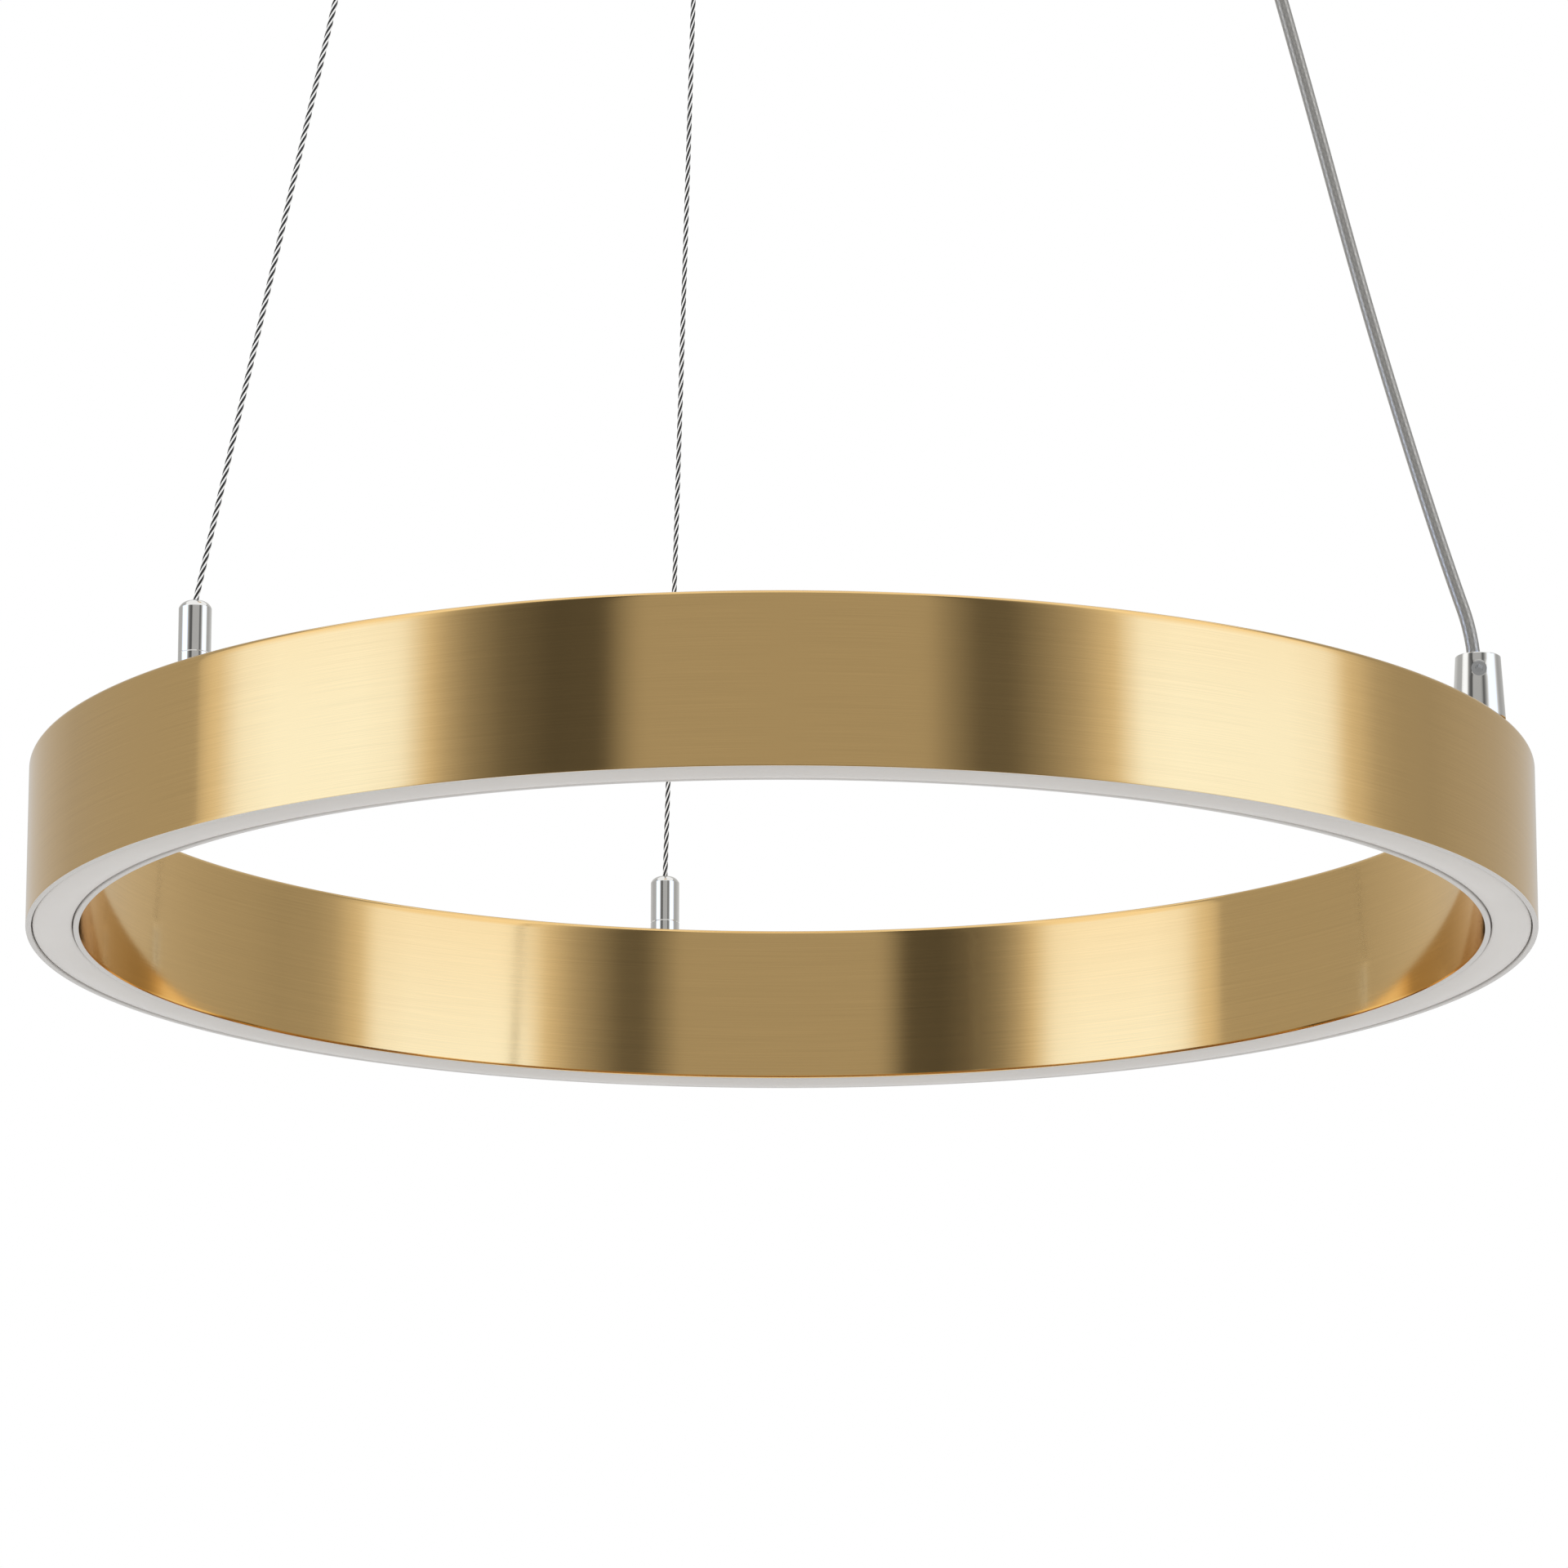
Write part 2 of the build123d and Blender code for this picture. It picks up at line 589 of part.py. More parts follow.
dome_low = CAP_TOP - DOME_RISE
dome_run = FERRULE_RADIUS - LAND_RADIUS
dome_slant = hypot(dome_run, DOME_RISE)
dome_middle = (
    (FERRULE_RADIUS + LAND_RADIUS) / 2 + DOME_BULGE * DOME_RISE / dome_slant,
    CAP_TOP - DOME_RISE / 2 + DOME_BULGE * dome_run / dome_slant,
)
cavity = FERRULE_THREAD + THREAD_GAP
ferrule_cap = turned(
    line(
        (cavity, sleeve_high),
        (cavity, cap_low),
        (FERRULE_RADIUS, cap_low),
        (FERRULE_RADIUS, dome_low),
    ),
    arc((FERRULE_RADIUS, dome_low), dome_middle, (LAND_RADIUS, CAP_TOP)),
    line(
        (LAND_RADIUS, CAP_TOP),
        (rope_hole, CAP_TOP),
        (rope_hole, sleeve_high),
        (cavity, sleeve_high),
    ),
)
rope_end = rod(SLEEVE_RADIUS, sleeve_low, sleeve_high)
rope_end += rod(ROPE_RADIUS, sleeve_low + 1, CAP_TOP)

for side, post in (("left", LEFT_POST), ("rear", REAR_POST)):
    save("ferrule_base_" + side, Pos(post) * ferrule_base)
    save("ferrule_cap_" + side, Pos(post) * ferrule_cap)
    save("rope_end_" + side, Pos(post) * rope_end)
save("ferrule_nuts", Pos(LEFT_POST) * ferrule_nut, Pos(REAR_POST) * ferrule_nut)


# ---------------------------------------------------------------- cord grips
def cord_grip(plate):
    """Cord grip on a plate of some thickness: body, set screw and nut.

    Drawn on the z axis with its tip up, the plate's top face at z = 0 and the
    set screw facing +X.
    """
    body = turned(
        line(
            (GRIP_BORE_RADIUS, 0),
            (GRIP_BASE_RADIUS, 0),
            (GRIP_TIP_RADIUS, GRIP_HEIGHT),
            (GRIP_BORE_RADIUS, GRIP_HEIGHT),
            (GRIP_BORE_RADIUS, 0),
        )
    )
    tip_edge = body.edges().filter_by(GeomType.CIRCLE).group_by(Axis.Z)[-1]
    body = chamfer(tip_edge.sort_by(SortBy.RADIUS)[-1], GRIP_EDGE)
    body += pipe(GRIP_STUB_RADIUS, GRIP_STUB_BORE, -GRIP_STUB_LENGTH, 0)
    body += pipe(GRIP_BORE_RADIUS + 1, GRIP_STUB_BORE, 0, CANOPY_WALL)

    level = GRIP_HEIGHT - GRIP_SCREW_DROP
    share = level / GRIP_HEIGHT
    skin = GRIP_BASE_RADIUS + (GRIP_TIP_RADIUS - GRIP_BASE_RADIUS) * share
    sideways = Pos(0, 0, level) * Rot(0, 90, 0)
    body -= sideways * rod(GRIP_SCREW_RADIUS, 0, GRIP_BASE_RADIUS + 1)
    mouth = GRIP_SCREW_RADIUS + GRIP_SCREW_MOUTH
    body -= sideways * rod(mouth, skin - GRIP_SCREW_MOUTH, GRIP_BASE_RADIUS + 1)

    outside = skin - GRIP_SCREW_SINK
    screw = rod(GRIP_SCREW_RADIUS, CORD_RADIUS + THREAD_GAP, outside)
    screw -= hexagon(SOCKET_FLATS, outside - SOCKET_DEPTH, outside + 1)
    nut = pipe(GRIP_NUT_RADIUS, GRIP_STUB_RADIUS, -plate - GRIP_NUT_HEIGHT, -plate)
    nut -= block(
        -GRIP_NUT_RADIUS - 1,
        GRIP_NUT_RADIUS + 1,
        -GRIP_NUT_SLOT / 2,
        GRIP_NUT_SLOT / 2,
        -plate - GRIP_NUT_HEIGHT - 1,
        -plate - GRIP_NUT_HEIGHT / 2,
    )
    return body, sideways * screw, nut


ring_body, ring_screw, ring_nut = cord_grip(TOP_PLATE)
ring_place = Pos(CORD_POST) * Rot(0, 0, RING_SCREW_AZIMUTH)
save("ring_grip_body", ring_place * ring_body)
save("ring_grip_screw", ring_place * ring_screw)
save("ring_grip_nut", ring_place * ring_nut)

canopy_body, canopy_screw, canopy_nut = cord_grip(CANOPY_WALL)
canopy_place = Pos(CORD_EXIT) * Pos(0, 0, CANOPY_BOTTOM) * Rot(0, 0, CORD_AZIMUTH + TWIST)
canopy_place = canopy_place * Rot(180, 0, 0)
save("canopy_grip_body", canopy_place * canopy_body)
save("canopy_grip_screw", canopy_place * canopy_screw)
save("canopy_grip_nut", canopy_place * canopy_nut)

# ---------------------------------------------------------------- ropes and cord
# A rope is straight from its gripper to its ferrule, and ends level at both.
for side, post, out in (
    ("left", LEFT_POST, LEFT_EXIT),
    ("rear", REAR_POST, REAR_EXIT),
):
    low = Vector(post.X, post.Y, ROPE_LOW)
    high = Vector(out.X, out.Y, ROPE_HIGH)
    section = Pos(low) * Circle(ROPE_RADIUS)
    rope = loft([section, Pos(high) * Circle(ROPE_RADIUS)], ruled=True)
    save("rope_" + side, rope)
    print("rope_" + side, "length", round((high - low).length, 1))

apart = Vector(CORD_POST.X - CORD_EXIT.X, CORD_POST.Y - CORD_EXIT.Y, 0)
outward = apart.normalized() * ((apart.length - CORD_OFF_AXIS) / CORD_ROUTE[-1][0])
downward = (RING_TOP + GRIP_HEIGHT - CORD_HIGH) / CORD_ROUTE[-1][1]
route = [
    CORD_EXIT + outward * out + Vector(0, 0, CORD_HIGH + downward * down)
    for out, down in CORD_ROUTE
]
radii = []
for before, here, after in zip(route, route[1:], route[2:]):
    turn = radians((here - before).get_angle(after - here))
    shorter = min((here - before).length, (after - here).length)
    radii.append(0.45 * shorter / tan(turn / 2))
cord_path = FilletPolyline(*route, radius=radii)
cord = sweep(Plane(cord_path @ 0, z_dir=cord_path % 0) * Circle(CORD_RADIUS), cord_path)
save("power_cord", cord)
print("power_cord length", round(cord_path.length, 1), "radii", [round(r) for r in radii])
print(
    "power_cord volume over section times length",
    round(cord.volume / (pi * CORD_RADIUS**2 * cord_path.length), 5),
)

# The cord's jacket carries on straight through each grip and ends past its stub.
jacket_reach = GRIP_HEIGHT + GRIP_STUB_LENGTH + JACKET_PAST_STUB
jacket_ends = []
for name, end, inside in (
    ("cord_tail_top", route[0], route[0] - route[1]),
    ("cord_tail_low", route[-1], route[-1] - route[-2]),
):
    far = end + inside * (jacket_reach / abs(inside.Z))
    tail = Plane(end, z_dir=inside) * Circle(CORD_RADIUS)
    save(name, extrude(tail, (far - end).length))
    jacket_ends.append(far)

# ---------------------------------------------------------------- wiring in the ring
connector_low = CARRIER_TOP
connector_mid = connector_low + RING_CONNECTOR_TALL / 2
connector = block(
    -RING_CONNECTOR_WIDE / 2,
    RING_CONNECTOR_WIDE / 2,
    RING_CONNECTOR_OFFSET,
    RING_CONNECTOR_OFFSET + RING_CONNECTOR_LONG,
    connector_low,
    connector_low + RING_CONNECTOR_TALL,
)
ring_cores = []
for side in (-1, 1):
    wide = side * CORE_SPREAD
    through = Pos(wide, RING_CONNECTOR_OFFSET, connector_mid) * Rot(-90, 0, 0)
    for depth in (0, RING_CONNECTOR_LONG - BLOCK_WIRE_DEPTH / 2):
        entry = rod(CORE_RADIUS, depth, depth + BLOCK_WIRE_DEPTH / 2)
        connector -= through * entry
    jacket_end = (channel.inverse() * Pos(jacket_ends[1])).position
    start = jacket_end + Vector(side * CORE_OFFSET, 0, -CORE_START)
    ring_cores.append(
        wire_along(
            [
                start,
                Vector(start.X, start.Y, connector_mid),
                Vector(wide, RING_CONNECTOR_OFFSET - CORE_BEND, connector_mid),
                Vector(wide, RING_CONNECTOR_OFFSET + BLOCK_WIRE_DEPTH / 2, connector_mid),
            ],
            CORE_RADIUS,
            CORE_BEND,
        )
    )
    far_y = RING_CONNECTOR_OFFSET + RING_CONNECTOR_LONG
    ring_cores.append(
        wire_along(
            [
                Vector(wide, far_y - BLOCK_WIRE_DEPTH / 2, connector_mid),
                Vector(wide, core_hole_y, connector_mid),
                Vector(wide, core_hole_y, CARRIER_BOTTOM),
            ],
            CORE_RADIUS,
            CORE_BEND,
        )
    )
save("strip_connector", channel * connector)
save("strip_leads", *[channel * core for core in ring_cores], *links)

# ---------------------------------------------------------------- canopy shell
canopy = rod(CANOPY_RADIUS, CANOPY_BOTTOM, CANOPY_TOP)
canopy = fillet(canopy.edges().filter_by(GeomType.CIRCLE).group_by(Axis.Z)[0], CANOPY_ROUND)
canopy -= rod(CANOPY_INSIDE, CANOPY_FLOOR, CANOPY_TOP + 1)
for out in (LEFT_EXIT, REAR_EXIT):
    hole = rod(SHANK_RADIUS + SHANK_HOLE_GAP, CANOPY_BOTTOM - 1, CANOPY_FLOOR + 1)
    canopy -= Pos(out) * hole
hole = rod(GRIP_STUB_RADIUS + GRIP_HOLE_GAP, CANOPY_BOTTOM - 1, CANOPY_FLOOR + 1)
canopy -= Pos(CORD_EXIT) * hole
side_hole = Pos(0, 0, SIDE_SCREW_LEVEL) * Rot(0, 90, 0)
side_hole = side_hole * Cylinder(SIDE_SCREW_RADIUS + SIDE_SCREW_HOLE_GAP, 3 * CANOPY_RADIUS)
canopy -= side_hole

# ---------------------------------------------------------------- ceiling bracket
half = BRACKET_WIDTH / 2
bracket = block(-TAB_OUTSIDE, TAB_OUTSIDE, -half, half, -BRACKET_TAB, 0)
outer_bends = bracket.edges().filter_by(Axis.Y).group_by(Axis.Z)[-1]
bracket = fillet(outer_bends, BRACKET_BEND + BRACKET_THICK)
gap = block(
    BRACKET_THICK - TAB_OUTSIDE,
    TAB_OUTSIDE - BRACKET_THICK,
    -half - 1,
    half + 1,
    -BRACKET_TAB - 1,
    -BRACKET_THICK,
)
gap = fillet(gap.edges().filter_by(Axis.Y).group_by(Axis.Z)[-1], BRACKET_BEND)
bracket -= gap
for x in (-SLOT_SPACING / 2, SLOT_SPACING / 2):
    slot = Pos(x, 0, -BRACKET_THICK - 1) * SlotOverall(SLOT_LENGTH, 2 * SLOT_RADIUS)
    bracket -= extrude(slot, BRACKET_THICK + 2)
bracket -= rod(CABLE_HOLE_RADIUS, -BRACKET_THICK - 1, 1)
tapped = Pos(0, 0, SIDE_SCREW_LEVEL) * Rot(0, 90, 0)
bracket -= tapped * Cylinder(SIDE_SCREW_RADIUS, 3 * CANOPY_RADIUS)
save("ceiling_bracket", bracket)

# A side screw, drawn about +X: knurled knob outside the canopy, shank in the tab.
knob = rod(KNOB_RADIUS, CANOPY_RADIUS, CANOPY_RADIUS + KNOB_LENGTH)
for i in range(KNURLS):
    nick = Pos(polar(KNOB_RADIUS, 360.0 * i / KNURLS)) * Rot(0, 0, 360.0 * i / KNURLS + 45)
    size = 2 * KNURL_DEPTH / 2**0.5
    nick = nick * Box(size, size, 4 * CANOPY_RADIUS)
    knob -= nick
side_screw = knob + rod(
    SIDE_SCREW_RADIUS, TAB_OUTSIDE - BRACKET_THICK - SIDE_SCREW_REACH, CANOPY_RADIUS + 1
)
side_screw = Pos(0, 0, SIDE_SCREW_LEVEL) * Rot(0, 90, 0) * side_screw
save("canopy_screws", side_screw, Rot(0, 0, 180) * side_screw)

# ---------------------------------------------------------------- rope grippers
# Each is drawn about its own axis, with z = 0 on the ceiling plane.
body_low = CANOPY_BOTTOM - GRIPPER_LENGTH
shank_top = CANOPY_BOTTOM + SHANK_LENGTH
lip_top = body_low + LIP_HEIGHT
chamber_top = lip_top + CHAMBER_HEIGHT
throat_top = chamber_top + THROAT_HEIGHT
taper_top = throat_top + TAPER_HEIGHT
spring_seat = shank_top - SHANK_CAP

gripper_body = rod(GRIPPER_RADIUS, body_low, CANOPY_BOTTOM)
gripper_edge = gripper_body.edges().filter_by(GeomType.CIRCLE).group_by(Axis.Z)[0]
gripper_body = fillet(gripper_edge, GRIPPER_ROUND)
gripper_body += rod(SHANK_RADIUS, CANOPY_BOTTOM - 1, shank_top)
gripper_body -= turned(
    line(
        (0, body_low - 1),
        (PLUNGER_RADIUS + PLUNGER_GAP, body_low - 1),
        (PLUNGER_RADIUS + PLUNGER_GAP, lip_top),
        (CHAMBER_RADIUS, lip_top),
        (CHAMBER_RADIUS, chamber_top),
        (THROAT_RADIUS, chamber_top),
        (THROAT_RADIUS, throat_top),
        (TAPER_TOP_RADIUS, taper_top),
        (TAPER_TOP_RADIUS, spring_seat),
        (PLUNGER_BORE_RADIUS, spring_seat),
        (PLUNGER_BORE_RADIUS, shank_top + 1),
        (0, shank_top + 1),
        (0, body_low - 1),
    )
)
gripper_nut = hexagon(SHANK_NUT_FLATS, CANOPY_FLOOR, CANOPY_FLOOR + SHANK_NUT_HEIGHT)
gripper_nut -= rod(SHANK_RADIUS, CANOPY_FLOOR - 1, CANOPY_FLOOR + SHANK_NUT_HEIGHT + 1)

flange_low = lip_top + 0.05
stem_top = throat_top + 0.9
plunger = rod(PLUNGER_RADIUS, PLUNGER_TIP, flange_low + 0.5)
plunger_edge = plunger.edges().filter_by(GeomType.CIRCLE).group_by(Axis.Z)[0]
plunger = fillet(plunger_edge, PLUNGER_EDGE)
plunger += rod(FLANGE_RADIUS, flange_low, flange_low + FLANGE_HEIGHT)
plunger += rod(STEM_RADIUS, flange_low, stem_top)
plunger -= rod(PLUNGER_BORE_RADIUS, PLUNGER_TIP - 1, stem_top + 1)

ball_z = stem_top + BALL_LIFT + BALL_RADIUS
ball_r = ROPE_RADIUS + BALL_GAP + BALL_RADIUS
balls = [Pos(polar(ball_r, 120.0 * i + 30, ball_z)) * Sphere(BALL_RADIUS) for i in range(3)]

spring_low = ball_z + BALL_RADIUS + SPRING_END_GAP + SPRING_WIRE
spring_high = spring_seat - SPRING_WIRE
spring_path = Helix(
    pitch=(spring_high - spring_low) / SPRING_TURNS,
    height=spring_high - spring_low,
    radius=SPRING_RADIUS,
    center=(0, 0, spring_low),
)
spring_start = Plane(spring_path @ 0, z_dir=spring_path % 0)
spring = sweep(spring_start * Circle(SPRING_WIRE), spring_path, is_frenet=True)

rope_tails = []
rope_stops = []
tail_top = shank_top + TAIL_RISE
for side, out, heading in (
    ("left", LEFT_EXIT, LEFT_TAIL_HEADING),
    ("rear", REAR_EXIT, REAR_TAIL_HEADING),
):
    save("gripper_body_" + side, Pos(out) * gripper_body)
    save("gripper_plunger_" + side, Pos(out) * plunger)
    save("gripper_balls_" + side, *[Pos(out) * ball for ball in balls])
    save("gripper_spring_" + side, Pos(out) * spring)
    corner = tail_top + TAIL_BEND
    end = TAIL_BEND + TAIL_RUN
    route_up = [
        Vector(0, 0, ROPE_HIGH),
        Vector(0, 0, corner),
        Vector(end, 0, corner),
    ]
    place = Pos(out) * Rot(0, 0, heading)
    rope_tails.append(place * wire_along(route_up, ROPE_RADIUS, TAIL_BEND))
    stop = Rot(0, 90, 0) * rod(STOP_RADIUS, end, end + STOP_LENGTH)
    rope_stops.append(place * Pos(0, 0, corner) * stop)
save("gripper_nuts", Pos(LEFT_EXIT) * gripper_nut, Pos(REAR_EXIT) * gripper_nut)
save("rope_tails", *rope_tails)
save("rope_stops", *rope_stops)

# ---------------------------------------------------------------- LED driver
def reach(clearance, y):
    """How far along x the canopy has room at some y, short of its wall by a clearance."""
    return ((CANOPY_INSIDE - clearance) ** 2 - y**2) ** 0.5


cord_nut_back = CORD_EXIT.Y + GRIP_NUT_RADIUS
rear_nut_front = REAR_EXIT.Y - SHANK_NUT_FLATS / 2
connector_room = CONNECTOR_LONG + CONNECTOR_TO_DRIVER
spare_depth = rear_nut_front - cord_nut_back - connector_room - DRIVER_DEEP
dy0 = cord_nut_back + DRIVER_SHARE * spare_depth + connector_room
dy1 = dy0 + DRIVER_DEEP
block_front = dy0 + BLOCK_BACK
block_left = -reach(BLOCK_CLEARANCE, block_front + BLOCK_LONG)
block_right = block_left + BLOCK_WIDE
dx0 = block_right + BLOCK_TO_DRIVER
dx1 = reach(DRIVER_CLEARANCE, dy1)
dz0 = CANOPY_FLOOR
dz1 = CANOPY_FLOOR + DRIVER_TALL
wall = DRIVER_WALL
lead_z = CANOPY_FLOOR + LEAD_RISE
supply_y = [dy0 + SUPPLY_FIRST + i * SUPPLY_PITCH for i in range(2)]
output_x = [dx1 - OUTPUT_LAST - (1 - i) * OUTPUT_PITCH for i in range(2)]

case = block(dx0, dx1, dy0, dy1, dz0, dz1 - wall)
case -= block(dx0 + wall, dx1 - wall, dy0 + wall, dy1 - wall, dz0 + wall, dz1)
ear_end = max(dx1 + EAR_LONG, EAR_LONG - dx0)
ear_y = min(reach(EAR_CLEARANCE, ear_end), dy1) - EAR_WIDE / 2
ear_holes = []
for x0, x1 in ((dx0 - EAR_LONG, dx0), (dx1, dx1 + EAR_LONG)):
    case += block(x0, x1, ear_y - EAR_WIDE / 2, ear_y + EAR_WIDE / 2, dz0, dz0 + EAR_THICK)
    centre = Pos((x0 + x1) / 2, ear_y)
    case -= centre * rod(M3_HOLE_RADIUS, dz0 - 1, dz0 + EAR_THICK + 1)
    canopy -= centre * rod(M3_RADIUS, CANOPY_BOTTOM - 1, CANOPY_FLOOR + 1)
    ear_holes.append(centre)
board_z = dz0 + wall + BOARD_STANDOFF
inset = wall + BOARD_MARGIN
corner = inset + STANDOFF_RADIUS
for x in (dx0 + corner, dx1 - corner):
    for y in (dy0 + corner, dy1 - corner):
        case += Pos(x, y) * rod(STANDOFF_RADIUS, dz0 + wall / 2, board_z)
for y in supply_y:
    hole = Pos(dx0, y, lead_z) * Rot(0, 90, 0) * Cylinder(LEAD_RADIUS + LEAD_GAP, 3 * wall)
    case -= hole
for x in output_x:
    hole = Pos(x, dy0, lead_z) * Rot(90, 0, 0) * Cylinder(LEAD_RADIUS + LEAD_GAP, 3 * wall)
    case -= hole
save("driver_case", case)

lid = block(dx0, dx1, dy0, dy1, dz1 - wall, dz1)
lip = wall + LID_GAP
rim = block(dx0 + lip, dx1 - lip, dy0 + lip, dy1 - lip, dz1 - wall - LID_LIP, dz1 - wall)
rim -= block(
    dx0 + 2 * lip, dx1 - 2 * lip, dy0 + 2 * lip, dy1 - 2 * lip, dz1 - wall - LID_LIP, dz1 - wall
)
save("driver_lid", lid + rim)

board_top = board_z + BOARD_THICK
save(
    "driver_board",
    block(dx0 + inset, dx1 - inset, dy0 + inset, dy1 - inset, board_z, board_top),
)
box_x0 = dx0 + inset + TERMINAL_BOX_INSET
box_y0 = dy0 + inset + TERMINAL_BOX_INSET
box_high = board_top + TERMINAL_BOX_HEIGHT
box_x1 = box_x0 + TERMINAL_BOX_DEEP
input_box = block(
    box_x0,
    box_x1,
    supply_y[0] - INPUT_BOX_MARGIN,
    supply_y[1] + INPUT_BOX_MARGIN,
    board_top,
    box_high,
)
output_box = block(
    output_x[0] - OUTPUT_BOX_MARGIN,
    output_x[1] + OUTPUT_BOX_MARGIN,
    box_y0,
    box_y0 + TERMINAL_BOX_DEEP,
    board_top,
    box_high,
)
core_x = dx0 + TRANSFORMER_SHARE * (dx1 - dx0)
core_y = (dy0 + dy1) / 2
core_left = core_x - TRANSFORMER_LONG / 2
core_right = core_x + TRANSFORMER_LONG / 2
core_front = core_y - TRANSFORMER_DEEP / 2
core_back = core_y + TRANSFORMER_DEEP / 2
foot_top = board_top + TRANSFORMER_FOOT
core_top = board_top + TRANSFORMER_TALL
yoke_low = core_top - TRANSFORMER_YOKE
transformer = block(core_left, core_right, core_front, core_back, board_top, foot_top)
transformer += block(core_left, core_right, core_front, core_back, yoke_low, core_top)
transformer += Pos(core_x, core_y) * rod(WINDING_RADIUS, board_top, core_top)
smoothing_x = box_x1 + SMOOTHING_SHARE * (core_left - box_x1)
smoothing = rod(SMOOTHING_RADIUS, board_top, board_top + SMOOTHING_TALL)
smoothing = Pos(smoothing_x, core_y - SMOOTHING_FORWARD) * smoothing
choke_x = box_x1 + CHOKE_SHARE * (core_left - box_x1)
filter_choke = rod(CHOKE_RADIUS, board_top, board_top + CHOKE_TALL)
filter_choke = Pos(choke_x, core_y + CHOKE_BACK) * filter_choke
output_cap_x = core_right + OUTPUT_CAP_GAP + OUTPUT_CAP_RADIUS
output_cap = rod(OUTPUT_CAP_RADIUS, board_top, board_top + OUTPUT_CAP_TALL)
output_cap = Pos(output_cap_x, core_y + OUTPUT_CAP_BACK) * output_cap
sink_left = core_right + HEAT_SINK_GAP
sink_y = core_y - HEAT_SINK_FORWARD
heat_sink = block(
    sink_left,
    sink_left + HEAT_SINK_THICK,
    sink_y - HEAT_SINK_LONG / 2,
    sink_y + HEAT_SINK_LONG / 2,
    board_top,
    board_top + HEAT_SINK_TALL,
)
save(
    "driver_parts",
    input_box,
    output_box,
    transformer,
    smoothing,
    filter_choke,
    output_cap,
    heat_sink,
)

driver_screws = []
for centre in ear_holes:
    head = dz0 + EAR_THICK
    screw = rod(M3_HEAD_RADIUS, head, head + M3_HEAD_HEIGHT)
    screw += rod(M3_RADIUS, CANOPY_BOTTOM, head + 0.5)
    screw -= hexagon(SOCKET_FLATS, head + M3_HEAD_HEIGHT / 4, head + M3_HEAD_HEIGHT + 1)
    driver_screws.append(centre * screw)
save("driver_screws", *driver_screws)

# ---------------------------------------------------------------- mains terminals
pole_y = [supply_y[0] + (i - 1) * BLOCK_POLE_PITCH for i in range(BLOCK_POLES)]
terminal = block(
    block_left, block_right, block_front, block_front + BLOCK_LONG, dz0, dz0 + BLOCK_TALL
)
terminal_screws = []
screw_x = (block_left + block_right) / 2
screw_high = dz0 + BLOCK_TALL - BLOCK_SCREW_SINK
screw_low = screw_high - BLOCK_SCREW_LENGTH
half_slot = BLOCK_SLOT / 2
for y in pole_y:
    well = rod(BLOCK_SCREW_RADIUS + BLOCK_SCREW_GAP, screw_low, dz0 + 2 * BLOCK_TALL)
    terminal -= Pos(screw_x, y) * well
    for x in (block_left, block_right):
        entry = Pos(x, y, lead_z) * Rot(0, 90, 0)
        terminal -= entry * Cylinder(LEAD_RADIUS + LEAD_GAP, 2 * BLOCK_WIRE_DEPTH)
    screw = rod(BLOCK_SCREW_RADIUS, screw_low, screw_high)
    slot = block(
        -2 * BLOCK_SCREW_RADIUS,
        2 * BLOCK_SCREW_RADIUS,
        -half_slot,
        half_slot,
        screw_high - BLOCK_SLOT_DEPTH,
        screw_high + 1,
    )
    terminal_screws.append(Pos(screw_x, y) * (screw - slot))
save("terminal_block", terminal)
save("terminal_screws", *terminal_screws)

lead_start = block_right - BLOCK_WIRE_DEPTH
supply_leads = [
    wire_along([(lead_start, y, lead_z), (box_x0, y, lead_z)], LEAD_RADIUS, 0)
    for y in supply_y
]
save("supply_leads", *supply_leads)

earth_x = block_right + EARTH_OFFSET
earth_y = pole_y[0]
earth = Pos(earth_x, earth_y)
barrel_x = earth_x - TAG_RADIUS - TAG_BARREL_RADIUS
tag_top = dz0 + TAG_THICK
tag = earth * pipe(TAG_RADIUS, EARTH_SCREW_RADIUS, dz0, tag_top)
tag_edge = earth_x - (TAG_RADIUS + EARTH_SCREW_RADIUS) / 2
half_neck = TAG_NECK / 2
tag += block(barrel_x, tag_edge, earth_y - half_neck, earth_y + half_neck, dz0, tag_top)
tag += Pos(barrel_x, earth_y) * rod(TAG_BARREL_RADIUS, dz0, dz0 + TAG_BARREL_HEIGHT)
earth_wire = wire_along(
    [
        (lead_start, earth_y, lead_z),
        (barrel_x, earth_y, lead_z),
        (barrel_x, earth_y, dz0 + TAG_BARREL_HEIGHT),
    ],
    LEAD_RADIUS,
    CORE_BEND,
)
save("earth_lead", tag, earth_wire)
earth_screw = rod(EARTH_HEAD_RADIUS, tag_top, tag_top + EARTH_HEAD_HEIGHT)
earth_screw += rod(EARTH_SCREW_RADIUS, CANOPY_BOTTOM, tag_top + 1)
earth_slot = block(
    -2 * EARTH_HEAD_RADIUS,
    2 * EARTH_HEAD_RADIUS,
    -EARTH_SLOT / 2,
    EARTH_SLOT / 2,
    tag_top + EARTH_HEAD_HEIGHT - EARTH_SLOT_DEPTH,
    tag_top + 2 * EARTH_HEAD_HEIGHT,
)
save("earth_screw", earth * (earth_screw - earth_slot))
canopy -= earth * rod(EARTH_SCREW_RADIUS, CANOPY_BOTTOM - 1, CANOPY_FLOOR + 1)
save("canopy_shell", canopy)

